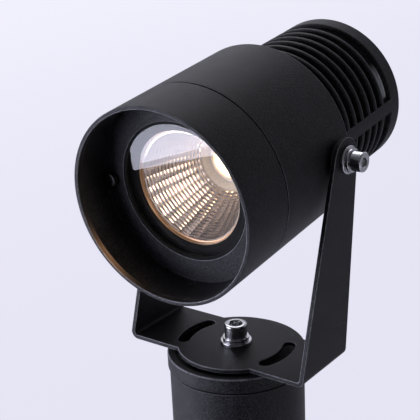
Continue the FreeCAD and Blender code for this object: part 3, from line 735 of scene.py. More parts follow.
@dataclass(frozen=True)
class Grained(Finish):
    """Coat, rubber or plastic with a fine grain, edges whose wear also paints their highlights, and shares of
    painted highlight and painted glow.
    """

    dark: Colour  # Colour in the grain's hollows
    light: Colour  # Colour on its tops
    size: float = 0.0004  # Grain size in metres
    smooth: float = 0.45  # Least roughness
    rough: float = 0.6  # Most roughness
    strength: float = 0.3  # Strength of the bumps
    rub_and_highlight: float = 0.0  # Share of rubbing on the edges, which also paints edge highlights
    mirror: float = 0.5  # How strongly the surface mirrors light from the front
    wear_and_highlight: Colour = (0.5, 0.5, 0.52)  # Colour of edge wear, which also stands for painted edge highlights
    under: Colour = (0.88, 0.55, 0.32)  # Colour of the painted glow of the lamp on the cowl's lip, carried by the under share
    glow_polish: float = 0.6  # Gloss and metal of the painted glow against the painted highlight
    bare: Colour = (0.85, 0.85, 0.87)  # Colour of the painted highlight
    highlight_rough: float = 0.35  # Its roughness
    highlight_metal: float = 0.8  # How metallic it is
    relief: float = 0.7  # Depth of the bumps against the grain size

    def material(self) -> Material:
        """Builds the material.

        Returns:
            The material.
        """
        material, recipe, shader, where = self.start()
        grain = recipe.node("Group", node_tree=Effects.grain, Place=where, Dark=self.dark, Light=self.light)
        recipe.feed(grain, Size=self.size, Smooth=self.smooth, Rough=self.rough)
        edge, bare, under = [recipe.share(name) for name in ("edge", "bare", "under")]
        # Edge wear, which also paints edge highlights
        rub_and_highlight = recipe.node("Group", node_tree=Effects.rub_and_highlight, Place=where, Edge=edge, Amount=self.rub_and_highlight)
        colour = recipe.blend(rub_and_highlight.outputs["Mask"], grain.outputs["Color"], self.wear_and_highlight)
        # Painted glow of the lamp, by the under share
        colour = recipe.blend(under, colour, self.under)
        # Painted highlight, then gloss and metal for it and for the painted glow
        colour = recipe.blend(bare, colour, self.bare)
        painted_light = recipe.maths("MAXIMUM", bare, recipe.maths("MULTIPLY", under, self.glow_polish))
        gloss = recipe.between(painted_light, 0.0, 1.0, grain.outputs["Roughness"], self.highlight_rough)
        metal = recipe.maths("MULTIPLY", painted_light, self.highlight_metal)
        normal = recipe.bump(grain.outputs["Height"], self.strength, self.size * self.relief)
        recipe.feed(shader, Base_Color=colour, Roughness=gloss, Metallic=metal, Normal=normal)
        recipe.feed(shader, Specular_IOR_Level=self.mirror)
        return material


@dataclass(frozen=True)
class TurnedMetal(Finish):
    """Bare metal with turning marks."""

    dark: Colour  # Colour in the marks
    light: Colour  # Colour between them
    smooth: float  # Least roughness
    rough: float  # Most roughness
    strength: float = 0.08  # Strength of the marks' relief
    rim: Colour = (0.74, 0.74, 0.75)  # Colour of the piece's marked edges
    rim_rough: float = 0.2  # Roughness of those edges
    depth: float = 0.00003  # Depth of the marks in metres

    def material(self) -> Material:
        """Builds the material.

        Returns:
            The material.
        """
        material, recipe, shader, where = self.start()
        lay, edge = recipe.share("lay"), recipe.share("edge")
        marks = recipe.node("Group", node_tree=Effects.lines, Lay=lay, Place=where)
        recipe.feed(marks, Smooth=self.smooth, Rough=self.rough)
        colour = recipe.blend(marks.outputs["Shade"], self.dark, self.light)
        colour = recipe.blend(edge, colour, self.rim)
        gloss = recipe.between(edge, 0.0, 1.0, marks.outputs["Roughness"], self.rim_rough)
        normal = recipe.bump(marks.outputs["Height"], self.strength, self.depth)
        recipe.feed(shader, Base_Color=colour, Roughness=gloss, Metallic=1.0, Normal=normal)
        return material


@dataclass(frozen=True)
class ClearGlass(Finish):
    """Clear glass with a faint uneven tint."""

    clear: Colour = (0.97, 0.98, 0.98)  # Colour of most of it
    tinted: Colour = (0.93, 0.96, 0.955)  # Colour of the denser streaks
    streak_scale: float = 70.0  # Scale of the streaks
    bending: float = 1.52  # How strongly it bends light

    def material(self) -> Material:
        """Builds the material.

        Returns:
            The material.
        """
        material, recipe, shader, where = self.start()
        streaks = recipe.between(recipe.noise(where, self.streak_scale), *NOISE_MIDDLE, 0.0, 1.0)
        colour = recipe.blend(streaks, self.clear, self.tinted)
        recipe.feed(shader, Base_Color=colour, Roughness=0.0, IOR=self.bending, Transmission_Weight=1.0)
        return material


@dataclass(frozen=True)
class LitPhosphor(Finish):
    """Lit lamp face with faint warmer clouds, dark where the piece's light is off."""

    middle: Colour = (1.0, 0.8, 0.56)  # Brightest light
    warm: Colour = (1.0, 0.68, 0.38)  # Warmer light
    strength: float = 10.0  # Brightness against a white sheet
    cloud_scale: float = 420.0  # Scale of the clouds
    rough: float = 0.4  # Roughness of the face

    def material(self) -> Material:
        """Builds the material.

        Returns:
            The material.
        """
        material, recipe, shader, where = self.start()
        clouds = recipe.between(recipe.noise(where, self.cloud_scale), *NOISE_MIDDLE, 0.0, 1.0)
        colour = recipe.blend(clouds, self.middle, self.warm)
        glow = recipe.blend(recipe.share("off"), colour, (0.0, 0.0, 0.0))
        recipe.feed(shader, Base_Color=colour, Roughness=self.rough)
        recipe.feed(shader, Emission_Color=glow, Emission_Strength=self.strength)
        return material


COAT = Grained(
    "anthracite_coat", (0.001, 0.001, 0.0012), (0.038, 0.0375, 0.044), 0.0005, 0.3, 0.46, 1.0, 0.6, 0.28
)
FINISHES: dict[Slot, Finish] = {
    Slot.COATED_ALUMINIUM: COAT,
    # The sheet's cut edges get strong wear, which also paints their highlights
    Slot.COATED_STEEL: replace(COAT, name="anthracite_coat_sheet", rub_and_highlight=0.9),
    Slot.STAINLESS: TurnedMetal("stainless_steel", (0.6, 0.6, 0.61), (0.78, 0.78, 0.79), 0.1, 0.2),
    Slot.BLACK_STEEL: TurnedMetal("blackened_steel", (0.03,) * 3, (0.09,) * 3, 0.3, 0.45, rim=(0.07,) * 3),
    Slot.ZINC_STEEL: TurnedMetal("zinc_steel", (0.5, 0.52, 0.56), (0.62, 0.64, 0.68), 0.3, 0.45),
    Slot.BLACK_RUBBER: Grained(
        "black_rubber", (0.004,) * 3, (0.008,) * 3, 0.0007, 0.6, 0.75, 0.12, mirror=0.15
    ),
    Slot.GREY_RUBBER: Grained("grey_pad", (0.4, 0.4, 0.42), (0.48, 0.48, 0.5), 0.0007, 0.7, 0.8, 0.1),
    Slot.BLACK_NYLON: Grained("black_nylon", (0.018,) * 3, (0.026,) * 3, 0.0005, 0.35, 0.48, 0.12),
    Slot.CLEAR_GLASS: ClearGlass("front_glass_clear"),
    Slot.BRIGHT_ALUMINIUM: TurnedMetal(
        "bright_reflector", (0.66, 0.57, 0.5), (0.74, 0.65, 0.58), 0.07, 0.12, 0.02, (0.42, 0.26, 0.15), 0.3
    ),
    Slot.WHITE_PLASTIC: Grained(
        "ivory_plastic", (0.62, 0.51, 0.39), (0.7, 0.59, 0.47), 0.0006, strength=0.06
    ),
    Slot.PHOSPHOR: LitPhosphor("lit_phosphor"),
    Slot.LAMP_PLATE: TurnedMetal("lamp_plate_metal", (0.7,) * 3, (0.8,) * 3, 0.3, 0.4),
    Slot.WIRE: Grained("red_wire", (0.36, 0.03, 0.03), (0.45, 0.045, 0.04), 0.0005, 0.35, 0.45, 0.05),
    Slot.CIRCUIT: Grained("green_board", (0.02, 0.14, 0.06), (0.03, 0.2, 0.09), 0.0009, 0.3, 0.45, 0.05),
    Slot.BARE_ALUMINIUM: TurnedMetal("bare_aluminium_can", (0.66, 0.66, 0.68), (0.76, 0.76, 0.78), 0.25, 0.4),
}


@cache
def material_of(slot: Slot) -> Material:
    """Material of a slot, built on first use."""
    return FINISHES[slot].material()


def make(
    node: str, slot: Slot, body: Body, surface: Surface, holes: Sequence[Surface] = (), fill: bool = False,
    sharp: float = SHARP, even: bool = True,
) -> Piece:
    """Piece that stands for a CAD node: built, drilled, shaded, dressed and set on its body.

    Args:
        node: CAD node that it stands for.
        slot: Its material slot.
        body: Body that it rides on.
        surface: Its shape.
        holes: Shapes to drill out of it.
        fill: Whether to close open ends.
        sharp: Least angle of a sharp edge.
        even: Whether wide faces keep their own direction.

    Returns:
        The piece.
    """
    piece = mesh_object(node + "_dressed", surface, fill)
    if holes:
        drill(piece, join(holes))
    shade(piece, sharp, even)
    piece.data.materials.clear()
    piece.data.materials.append(material_of(slot))
    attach(piece, body.value)
    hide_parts(node)
    log.info("%s rides on %s, %d faces", piece.name, body.value, len(piece.data.polygons))
    return piece


def bit(corners: Corners) -> Outline:
    """Outline of a drill, with ends on the axis and edges that stay sharp."""
    return rounded(corners, 0.02, 1, closed=False)


# Sub-assemblies

TILT = math.radians(7.1)  # How far the head looks down at rest
POST_AXIS = Axis((0.0, 0.0, 0.0), (0.0, 0.0, 1.0), (0.0, 1.0, 0.0))
HEAD_AXIS = Axis(
    (0.0, 18.4, 406.5), (0.0, -math.cos(TILT), -math.sin(TILT)), (0.0, -math.sin(TILT), math.cos(TILT))
)
FOUR_CORNERS = np.radians([45, 135, 225, 315])
WASHER_PLAY = 0.05  # Gap under a flat washer


@dataclass(frozen=True)
class CapScrew:
    """Socket cap screw with a spring washer and a flat washer."""

    shank: float = 3.0  # Radius of the shank
    head: float = 5.0  # Radius of the head
    head_height: float = 6.0  # Height of the head
    socket: float = 2.7  # Distance from the axis to the socket's flats
    socket_depth: float = 3.8  # Depth of the socket
    spring: float = 5.9  # Outer radius of the spring washer
    flat: float = 7.0  # Outer radius of the flat washer
    bore: float = 3.08  # Bore radius of the washers
    thick: float = 1.6  # Thickness of each washer
    slit: float = 0.8  # Slit of the spring washer
    rise: float = 0.06  # Climb of the spring washer
    gap: float = 0.04  # Gap on each side of the spring washer

    def screw(self, axis: Axis, length: float) -> Surface:
        """Screw whose head stands on the washers, from the seat outwards.

        Args:
            axis: Line outwards from the seat of the flat washer.
            length: Shank length below the head.

        Returns:
            The screw's surface.
        """
        seat, top = 2 * self.thick, 2 * self.thick + self.head_height
        floor = top - self.socket_depth
        corners = [
            (seat - length, 0.0), (seat - length, self.shank, 0.5), (seat, self.shank, 0.1),
            (seat, self.head, 0.25), (top, self.head, 0.55), (top, 1.2 * self.socket, 0.12),
            (top - 0.4, self.socket, 0.05), (floor, self.socket, 0.15), (floor - 0.9, 0.0),
        ]
        return turn(axis, rounded(corners, closed=False, marked=(6, 7)), SCREW_STEPS)

    def flat_washer(self, axis: Axis) -> Surface:
        """Flat washer on the seat."""
        corners = [(0.0, self.bore), (self.thick, self.bore), (self.thick, self.flat, 0.4), (0.0, self.flat)]
        return turn(axis, rounded(corners, 0.15), SCREW_STEPS)

    def spring_washer(self, axis: Axis) -> Surface:
        """Split spring washer on the flat washer, open at its slit.

        Args:
            axis: Line outwards from the seat of the flat washer.

        Returns:
            The washer's surface.
        """
        base, top = self.thick + self.gap, 2 * self.thick - self.gap
        corners = [(base, self.bore), (top, self.bore), (top, self.spring), (base, self.spring)]
        return turn(axis, rounded(corners, 0.2), SCREW_STEPS, slit=self.slit, rise=self.rise)


@dataclass(frozen=True)
class SocketScrew:
    """Small screw with a rounded head and a hexagon socket."""

    shank: float  # Radius of the shank
    length: float  # Length of the shank
    head: float  # Radius of the head
    height: float  # Height of the head
    socket: float  # Distance from the axis to the socket's flats
    depth: float  # Depth of the socket
    crown: float  # Rounding of the head

    def surface(self, axis: Axis) -> Surface:
        """Screw whose head stands on the axis origin.

        Args:
            axis: Line outwards from the seat of the head.

        Returns:
            The screw's surface.
        """
        floor = self.height - self.depth
        corners = [
            (-self.length, 0.0), (-self.length, self.shank, 0.3), (0.0, self.shank, 0.1),
            (0.0, self.head, 0.1), (self.height, self.head, self.crown), (self.height, self.socket, 0.12),
            (floor, self.socket, 0.1), (floor - 0.3, 0.0),
        ]
        return turn(axis, rounded(corners, closed=False, marked=(5, 6)), SMALL_STEPS)


SWIVEL = CapScrew()
PIVOT = CapScrew(2.5, 4.25, 5.0, 2.0, 2.5, 5.1, 6.0, 2.58)
COWL_SCREW = SocketScrew(2.0, 11.0, 3.5, 2.6, 1.25, 1.4, 0.7)
COVER_SCREW = SocketScrew(1.5, 10.8, 2.75, 2.0, 0.75, 1.0, 0.9)


@dataclass
class PostAssembly:
    """Ground flange, tube, cap and what is fixed to them."""

    radius: float = 30.0  # Outer radius of the tube
    bore: float = 27.5  # Inner radius of the tube
    flange: float = 55.0  # Radius of the flange
    flange_top: float = 6.0  # Height of the flange's upper face
    bevel: float = 1.5  # Bevel of the flange's upper edge
    cable_way: float = 10.0  # Radius of the flange's cable way
    foot_top: float = 30.0  # Height of the flange's spigot
    grommet: tuple[float, float] = (4.0, 9.9)  # Inner and outer radius of the grommet
    grommet_ends: tuple[float, float] = (2.0, 10.0)  # Heights of its ends
    spigot: float = 27.2  # Radius of the spigots of the flange and the cap
    top: float = 311.0  # Height of the cap's seat on the tube
    seam: float = 1.0  # Open seam between the tube and the cap
    seam_highlight: float = 0.35  # Painted highlight on the tube's upper edge, as a share of edge wear
    rim: float = 30.75  # Outer radius of the cap
    rim_top: float = 317.7  # Height of the cap's rim
    rim_wide: float = 3.2  # Width of the cap's rim
    recess: float = 4.2  # Depth of the cap's recess
    cap_floor: float = 4.0  # Thickness of the cap's floor
    boss: float = 13.0  # Radius of the cap's middle boss
    boss_top: float = 317.0  # Height of the boss
    block: float = 9.0  # Radius of the block under the boss, for the middle screw
    block_end: float = 300.2  # Height of the block's lower end
    spigot_bore: float = 23.7  # Inner radius of the cap's spigot
    spigot_end: float = 291.0  # Height of its lower end
    yoke_top: float = 320.0  # Height of the yoke's upper face
    anchor_circle: float = 43.0  # Radius of the circle of anchor holes
    anchor: float = 3.5  # Radius of the anchor holes
    foot_screws: float = 18.0  # Height of the flange's set screws
    foot_angles: tuple[float, ...] = (30.0, 150.0, 270.0)  # Their angles
    cap_screws: float = 301.0  # Height of the cap's set screws
    cap_angles: tuple[float, ...] = (90.0, 170.0)  # Their angles
    bush_height: float = 256.0  # Height of the lead-in bush
    bush_hole: float = 6.0  # Radius of its hole in the tube
    screw_hole: float = 2.55  # Radius of the holes for set screws
    screw_hole_wide: float = 2.85  # Their radius at the drill's outer end
    drilled: tuple[float, float] = (15.0, 45.0)  # Reach of the drills, outwards from the post's axis
    swivel_length: float = 20.05  # Shank length of the middle screw

    def spoke(self, angle: float, height: float) -> Axis:
        """Axis outwards through the tube's wall at an angle from the side."""
        a = math.radians(angle)
        return Axis((0.0, 0.0, height), (math.cos(a), math.sin(a), 0.0), (0.0, 0.0, 1.0))

    def build(self) -> None:
        """Builds the pieces that stand still."""
        self.build_flange()
        self.build_tube()
        self.build_cap()
        self.build_bush()
        self.build_swivel()

    def build_flange(self) -> None:
        """Flange with chamfered anchor holes, and the grommet in its cable way."""
        top, way, high = self.flange_top, self.cable_way, self.foot_top
        corners = [
            (0.0, way), (0.0, self.flange, 0.6), (top - self.bevel, self.flange, 0.8),
            (top, self.flange - self.bevel, 0.8), (top, self.spigot, 0.2), (high, self.spigot, 0.8),
            (high, way),
        ]
        hole = bit([
            (-1.0, 0.0), (-1.0, self.anchor), (top - 0.6, self.anchor), (top + 0.4, self.anchor + 1.0),
            (top + 0.4, 0.0),
        ])
        spots = polar(self.anchor_circle, FOUR_CORNERS)
        holes = [turn(POST_AXIS.shifted(side=x, up=y), hole, HOLE_STEPS) for x, y in spots]
        flange = turn(POST_AXIS, rounded(corners, 0.3))
        make("base_flange", Slot.COATED_ALUMINIUM, Body.POST, flange, holes)
        (inner, outer), (low, high) = self.grommet, self.grommet_ends
        ring = rounded([(low, inner, 0.8), (low, outer), (high, outer), (high, inner, 0.8)], 0.4)
        make("base_grommet", Slot.BLACK_RUBBER, Body.POST, turn(POST_AXIS, ring, SMALL_STEPS))

    def build_tube(self) -> None:
        """Tube with drilled holes, and the set screws in them."""
        foot, top = self.flange_top, self.top - self.seam
        corners = [(foot, self.bore), (foot, self.radius), (top, self.radius, 0.45), (top, self.bore)]
        outline = rounded(corners, 0.3)
        # Only the tube's upper edge gets edge wear, which paints its highlight above the seam
        outline = outline.with_edge_share(self.seam_highlight * (outline.along > top - 1))
        (near, far), size = self.drilled, self.screw_hole
        hole = bit([
            (near, 0.0), (near, size), (self.radius - 0.2, size), (far, self.screw_hole_wide), (far, 0.0),
        ])
        wide = bit([(near, 0.0), (near, self.bush_hole), (far, self.bush_hole), (far, 0.0)])
        axes = {
            "base_set_screws": [self.spoke(a, self.foot_screws) for a in self.foot_angles],
            "cap_set_screws": [self.spoke(a, self.cap_screws) for a in self.cap_angles],
        }
        holes = [turn(axis, hole, HOLE_STEPS) for row in axes.values() for axis in row]
        holes.append(turn(self.spoke(90.0, self.bush_height), wide, HOLE_STEPS))
        make("post_tube", Slot.COATED_ALUMINIUM, Body.POST, turn(POST_AXIS, outline, WIDE_STEPS), holes)
        corners = [
            (27.25, 0.0), (27.25, 1.6, 0.3), (28.0, 2.5, 0.2), (29.7, 2.5, 0.25), (29.7, 1.25, 0.1),
            (28.1, 1.25, 0.1), (27.9, 0.0),
        ]
        screw = rounded(corners, closed=False, marked=(4, 5))
        for name, row in axes.items():
            make(name, Slot.BLACK_STEEL, Body.POST, join([turn(axis, screw, SMALL_STEPS) for axis in row]))

    def build_cap(self) -> None:
        """Cap with its recessed top and middle boss."""
        floor, rim, bore = self.rim_top - self.recess, self.rim, self.spigot_bore
        under, inner, low = floor - self.cap_floor, rim - self.rim_wide, self.spigot_end
        corners = [
            (self.block_end, 0.0), (self.block_end, self.block), (under, self.block, 1.0),
            (under, bore, 1.0), (low, bore), (low, self.spigot, 0.8), (self.top, self.spigot, 0.1),
            (self.top, rim, 0.3), (self.rim_top, rim, 0.7), (self.rim_top, inner, 0.45),
            (floor, inner, 0.8), (floor, self.boss, 0.8), (self.boss_top, self.boss, 0.4),
            (self.boss_top, 0.0),
        ]
        outline = rounded(corners, closed=False)
        # Edge wear and painted edge highlight only above the seam, so that the rim's lower edge stays dark
        cap = turn(POST_AXIS, outline.with_edge_share(outline.along > self.top + 1), WIDE_STEPS)
        make("post_cap", Slot.COATED_ALUMINIUM, Body.POST, cap)

    def build_bush(self) -> None:
        """Rubber bush that hugs the tube: a ring profile whose levels are radii of the post."""
        corners = [
            (25.8, 3.5, 0.5), (25.8, 8.0, 0.6), (27.4, 8.0), (27.4, 5.9), (30.1, 5.9), (30.1, 8.0),
            (31.7, 7.6, 0.9), (31.7, 3.5, 0.5),
        ]
        outline = rounded(corners, 0.2)
        angle = np.linspace(0, TURN, SCREW_STEPS, endpoint=False)
        x, z = outline.out[:, None] * np.cos(angle), outline.out[:, None] * np.sin(angle)
        points = np.stack([x, np.sqrt(outline.along[:, None] ** 2 - x**2), self.bush_height + z], -1)
        bush = surface_of(points, outline, np.hypot(x, z))
        make("lead_in_bush", Slot.BLACK_RUBBER, Body.POST, bush)

    def build_swivel(self) -> None:
        """Middle screw of the yoke with its washers."""
        seat = POST_AXIS.shifted(along=self.yoke_top + WASHER_PLAY)
        make("swivel_screw", Slot.STAINLESS, Body.POST, SWIVEL.screw(seat, self.swivel_length))
        make("swivel_flat_washer", Slot.STAINLESS, Body.POST, SWIVEL.flat_washer(seat))
        make("swivel_spring_washer", Slot.STAINLESS, Body.POST, SWIVEL.spring_washer(seat), fill=True)


@dataclass
class YokeAssembly:
    """Bent sheet yoke."""

    bottom: float = 318.0  # Height of its lower face
    sheet: float = 2.0  # Thickness
    bend_in: float = 1.5  # Inner radius of the bends
    arm_in: float = 43.6  # Distance of the arms' inner faces from the middle
    disc: float = 26.0  # Radius of the disc
    half: float = 17.7  # Half depth of the strips
    tip: float = 9.1  # Radius of the arms' tips
    pivot: tuple[float, float] = (18.4, 406.5)  # Place of the pivot, back and up
    slot: float = 23.8  # Middle radius of the curved slots
    slot_half: float = 2.8  # Half width of the slots
    slot_angle: float = math.radians(24.0)  # Half angle of the slots
    rounding: float = 0.32  # Radius of the cut edges
    arc_points: int = 61  # Points of each long arc
    bend_points: int = 13  # Points across each bend and round each end of a slot
    slot_points: int = 25  # Points along each side of a slot

    def bend_start(self) -> float:
        """Distance from the middle at which the bends start."""
        return self.arm_in - self.bend_in

    def bend_length(self) -> float:
        """Length of a bend at the middle of the sheet."""
        return (self.bend_in + self.sheet / 2) * QUARTER

    def foot(self) -> float:
        """Height at which the arms start."""
        return self.bottom + self.sheet + self.bend_in

    def lift(self) -> float:
        """What a height on an arm gains on the flat pattern."""
        return self.bend_start() + self.bend_length() - self.foot()

    def fold(self, flat: Array, height: Array | float) -> Array:
        """Folds flat places up at both sides.

        Past the start of a bend, a point turns about the bend's axis at its own radius until a quarter
        turn, and then runs straight up.

        Args:
            flat: Places on the pattern: across the yoke, and back.
            height: Heights above the lower face.

        Returns:
            Points of the bent sheet.
        """
        across, start, length = np.abs(flat[..., 0]), self.bend_start(), self.bend_length()
        angle = np.clip((across - start) / length, 0, 1) * QUARTER
        radius = self.bend_in + self.sheet - height
        x = np.minimum(across, start) + radius * np.sin(angle)
        z = self.foot() - radius * np.cos(angle) + np.maximum(across - start - length, 0)
        return np.stack([np.sign(flat[..., 0]) * x, flat[..., 1], z], -1)

    def arm_edge(self) -> Array:
        """Right arm's edge on the pattern: tangents from its feet to the arc of its tip.

        Returns:
            Points from the front foot over the tip to the rear foot.
        """
        centre = np.array(self.pivot)
        ends = np.array([[-self.half, self.foot()], [self.half, self.foot()]]) - centre
        swing = np.arccos(self.tip / np.linalg.norm(ends, axis=1)) * np.array([-1, 1])
        angle = np.arctan2(ends[:, 1], ends[:, 0]) + swing
        tip = polar(self.tip, np.linspace(angle[0] % TURN, angle[1], self.arc_points))
        line = np.concatenate([ends[:1], tip, ends[1:]]) + centre
        return np.stack([line[:, 1] + self.lift(), line[:, 0]], 1)

    def pattern(self) -> tuple[Array, Array]:
        """Outer loop of the flat pattern, anticlockwise, and the lines across its bends.

        Returns:
            The loop's points, and pairs of point numbers to join.
        """
        turn_in = math.asin(self.half / self.disc)
        front = polar(self.disc, np.linspace(-math.pi + turn_in, -turn_in, self.arc_points))
        bend = self.bend_start() + np.linspace(0, self.bend_length(), self.bend_points)[:-1]
        foot = np.stack([bend, np.full(len(bend), -self.half)], 1)
        right = np.concatenate([foot, self.arm_edge(), (foot * [1, -1])[::-1]])
        loop = np.concatenate([front, right, -front, (right * [-1, 1])[::-1]])
        first, shift = len(front) + np.arange(len(bend)), len(front) + len(right)
        pairs = np.stack([first, shift - 1 - np.arange(len(bend))], 1)
        return loop, np.concatenate([pairs, pairs + shift])

    def slots(self) -> list[Array]:
        """Loops of the two curved slots: two arcs about the middle, joined by half circles.

        Returns:
            The right slot's loop and the left one's.
        """
        side = np.linspace(-self.slot_angle, self.slot_angle, self.slot_points)
        cap = self.slot_angle + np.linspace(0, math.pi, self.bend_points)[1:-1]
        far = polar(self.slot, side[-1:]) + polar(self.slot_half, cap)
        outer, inner = polar(self.slot + self.slot_half, side), polar(self.slot - self.slot_half, side[::-1])
        right = np.concatenate([outer, far, inner, (far * [1, -1])[::-1]])
        return [right, -right]

    def build(self) -> None:
        """Builds the yoke."""
        loop, creases = self.pattern()
        angle = np.linspace(0, TURN, HOLE_STEPS, endpoint=False)
        pivot = polar(PIVOT.bore, angle)
        spot = np.array([self.pivot[1] + self.lift(), self.pivot[0]])
        holes = self.slots() + [polar(SWIVEL.bore, angle), pivot + spot * [-1, 1], pivot + spot]
        solid = sheet_solid(loop, holes, creases, self.sheet, self.rounding, self.fold)
        make("yoke_bracket", Slot.COATED_STEEL, Body.YOKE, solid)


@dataclass
class HeadAssembly:
    """Housing, cowl, covers and pivot hardware of the spot head."""

    barrel: float = 42.0  # Radius of the barrel and cowl
    tail: float = 35.25  # Radius of the fins
    web: float = 6.2  # Width of the solid web on each side
    shoulder: float = 38.85  # Front end of the barrel
    rear: float = -9.1  # Rear end of the barrel
    tail_end: float = -67.97  # Rear end of the tail
    groove: float = 3.6  # Width of the grooves between fins
    pitch: float = 6.06  # Distance from fin to fin
    grooves: int = 7  # Number of grooves
    first_groove: float = -10.55  # Front face of the first groove
    groove_floor: float = 26.5  # Radius of the grooves' floor
    bevel: float = 1.2  # Bevel of the tail's rear edge
    chamber: float = 22.5  # Radius of the driver's chamber
    chamber_end: float = 6.7  # Front end of that chamber
    cover_recess: float = 30.3  # Radius of the recess for the rear cover
    cover_seat: float = -63.17  # Floor of that recess
    nose: float = 39.9  # Radius of the nose inside the cowl
    nose_end: float = 46.4  # Front end of the nose
    pane: float = 33.7  # Radius of the recess for the glass
    pane_seat: float = 44.3  # Floor of that recess
    window: float = 26.0  # Radius of the opening behind the glass
    window_back: float = 37.05  # Rear face of the wall round that opening
    lamp_room: float = 38.0  # Radius of the lamp's chamber
    lamp_wall: float = 14.7  # Rear wall of that chamber
    # Rear and front face of the wide groove, and the radius of its floor
    neck: tuple[float, float, float] = (-58.97, -52.97, 32.75)
    # Reach of a fin's rear edge, which gets wear and a painted highlight of the light from behind, from its
    # rear face forwards
    rear_edge: tuple[float, float] = (-0.01, 0.75)
    # Reach of its front edge, which gets neither wear nor painted highlight, from its front face
    front_edge: tuple[float, float] = (-1.05, 0.01)
    fin_highlight: float = 2.3  # Painted highlight on the rear edges, as a share of edge wear
    # Angles at which the neck's painted highlight starts, begins to fade and ends
    patch: tuple[float, float, float] = (6.0, 24.0, 36.0)
    cowl_face: float = 51.4  # Front face of the cowl's inner flange
    cowl_back: float = 39.55  # Rear end of the cowl, past the seam
    mouth: float = 67.4  # Front end of the cowl
    lean: tuple[float, float] = (1.1, 1.4)  # How far the mouth leans back at its right side and at its top
    lip_edge_wear_and_highlight: float = 0.25  # Edge wear and painted highlight on the lip's outer edge
    relief: float = 2.0  # Depth of the wider bore at the lip
    relief_step: float = 0.15  # How much wider that bore is
    # Middle and width in degrees of the lip's painted glow of the lamp
    lip_glow: tuple[float, float] = (222.0, 16.0)
    cowl_bore: float = 40.2  # Inner radius of the cowl
    cowl_steps: int = 216  # Places round the cowl
    opening: float = 30.1  # Radius of the cowl's opening for the glass
    cowl_screw: float = 36.4  # Distance of the cowl's screws from the axis
    cowl_flange: float = 4.0  # Thickness of the cowl's inner flange
    drain: float = 53.4  # Place of the drain hole
    drain_hole: float = 1.5  # Radius of the drain hole
    drilled: tuple[float, float] = (38.0, 46.0)  # Reach of its drill, outwards from the head's axis
    cover: float = 30.0  # Radius of the rear cover
    cover_bore: float = 6.05  # Radius of its hole for the gland
    cover_thick: float = 4.0  # Its thickness
    dish: tuple[float, float] = (10.0, 21.0)  # Inner and outer radius of the shallow dish in it
    dish_depth: float = 0.6  # Depth of the dish
    cover_circle: float = 26.5  # Radius of the circle of its screws
    nut: tuple[float, float] = (5.3, 15.8)  # Ends of the gland's nut, behind the cover
    ribs: int = 18  # Ribs of the nut
    rib_depth: float = 0.55  # Depth between them
    spot_face: float = 41.396  # Distance of the spacers' seats from the middle
    spacer_end: float = 43.55  # Distance of the spacers' outer ends
    arm_out: float = 45.6  # Distance of the arms' outer faces
    thread: float = 8.5  # Length of the pivot screws in the housing

    def build(self) -> None:
        """Builds the pieces that tilt, apart from the lamp."""
        self.build_housing()
        self.build_cowl()
        self.build_rear()
        self.build_gland()
        self.build_pivots()

    def build_housing(self) -> None:
        """Casting with its barrel, nose, finned tail and chambers."""
        end, tail = self.tail_end, self.tail
        seat, chamber, recess = self.cover_seat, self.chamber, self.cover_recess
        corners = [
            (self.chamber_end, 0.0), (self.chamber_end, chamber), (seat, chamber), (seat, recess),
            (end, recess, 0.35), (end, tail - self.bevel, 0.5), (end + self.bevel, tail, 0.6),
        ]
        fronts = self.first_groove - self.pitch * np.arange(self.grooves)[::-1]
        spans = [self.neck] + [(front - self.groove, front, self.groove_floor) for front in fronts]
        marked = range(len(corners), len(corners) + 4 * len(spans))
        for back, front, floor in spans:
            corners += [(back, tail, 1.0), (back, floor, 0.5), (front, floor, 0.5), (front, tail, 0.7)]
        corners += [
            (self.rear, tail, 0.3), (self.rear, self.barrel, 0.7), (self.shoulder, self.barrel, 0.3),
            (self.shoulder, self.nose), (self.nose_end, self.nose), (self.nose_end, self.pane),
            (self.pane_seat, self.pane), (self.pane_seat, self.window), (self.window_back, self.window),
            (self.window_back, self.lamp_room), (self.lamp_wall, self.lamp_room), (self.lamp_wall, 0.0),
        ]
        outline = rounded(corners, closed=False, marked=marked)
        ahead = outline.along[:, None] - np.array([span[1] for span in spans] + [self.rear])
        at_rear = ((ahead > self.rear_edge[0]) & (ahead < self.rear_edge[1])).any(1)
        ahead = outline.along[:, None] - np.array([span[0] for span in spans])
        at_front = ((ahead > self.front_edge[0]) & (ahead < self.front_edge[1])).any(1)
        # Painted highlight on the fins' rear edges, none on their front edges
        wear_and_highlight = np.where(at_rear, self.fin_highlight, np.where(at_front, 0.0, 1.0))
        housing = turn_with_webs(HEAD_AXIS, outline.with_edge_share(wear_and_highlight), self.web, tail)
        # Painted highlight of the light from the right on the neck's floor
        housing.shares["bare"] = self.neck_highlight(housing.points)
        make("head_housing", Slot.COATED_ALUMINIUM, Body.HEAD, housing)

    def neck_highlight(self, points: Array) -> Array:
        """Share of a painted highlight on the floor of the neck, above the web on the right, where light from
        the right falls on it.

        Args:
            points: Places on the housing.

        Returns:
            One on the patch, fading to zero at its upper end, where the fins cut off the light.
        """
        along, side, up = HEAD_AXIS.measure(points)
        angle = np.degrees(np.arctan2(up, side))
        back, front, floor = self.neck
        start, fade, end = self.patch
        on_floor = (np.hypot(up, side) < floor + 0.3) & (along > back - 0.1) & (along < front + 0.1)
        return on_floor * (angle > start) * np.clip((end - angle) / (end - fade), 0, 1)

    def leaning(self, points: Array) -> Array:
        """Cowl whose mouth leans: past the flange a point moves along the axis, more towards the mouth.

        Args:
            points: Places on the straight cowl.

        Returns:
            The moved places.
        """
        along, side, up = HEAD_AXIS.measure(points)
        reach = np.clip((along - self.cowl_face) / (self.mouth - self.cowl_face), 0, 1)
        shift = reach * (self.lean[0] * side + self.lean[1] * up) / self.barrel
        return points - shift[:, None] * np.array(HEAD_AXIS.forward)

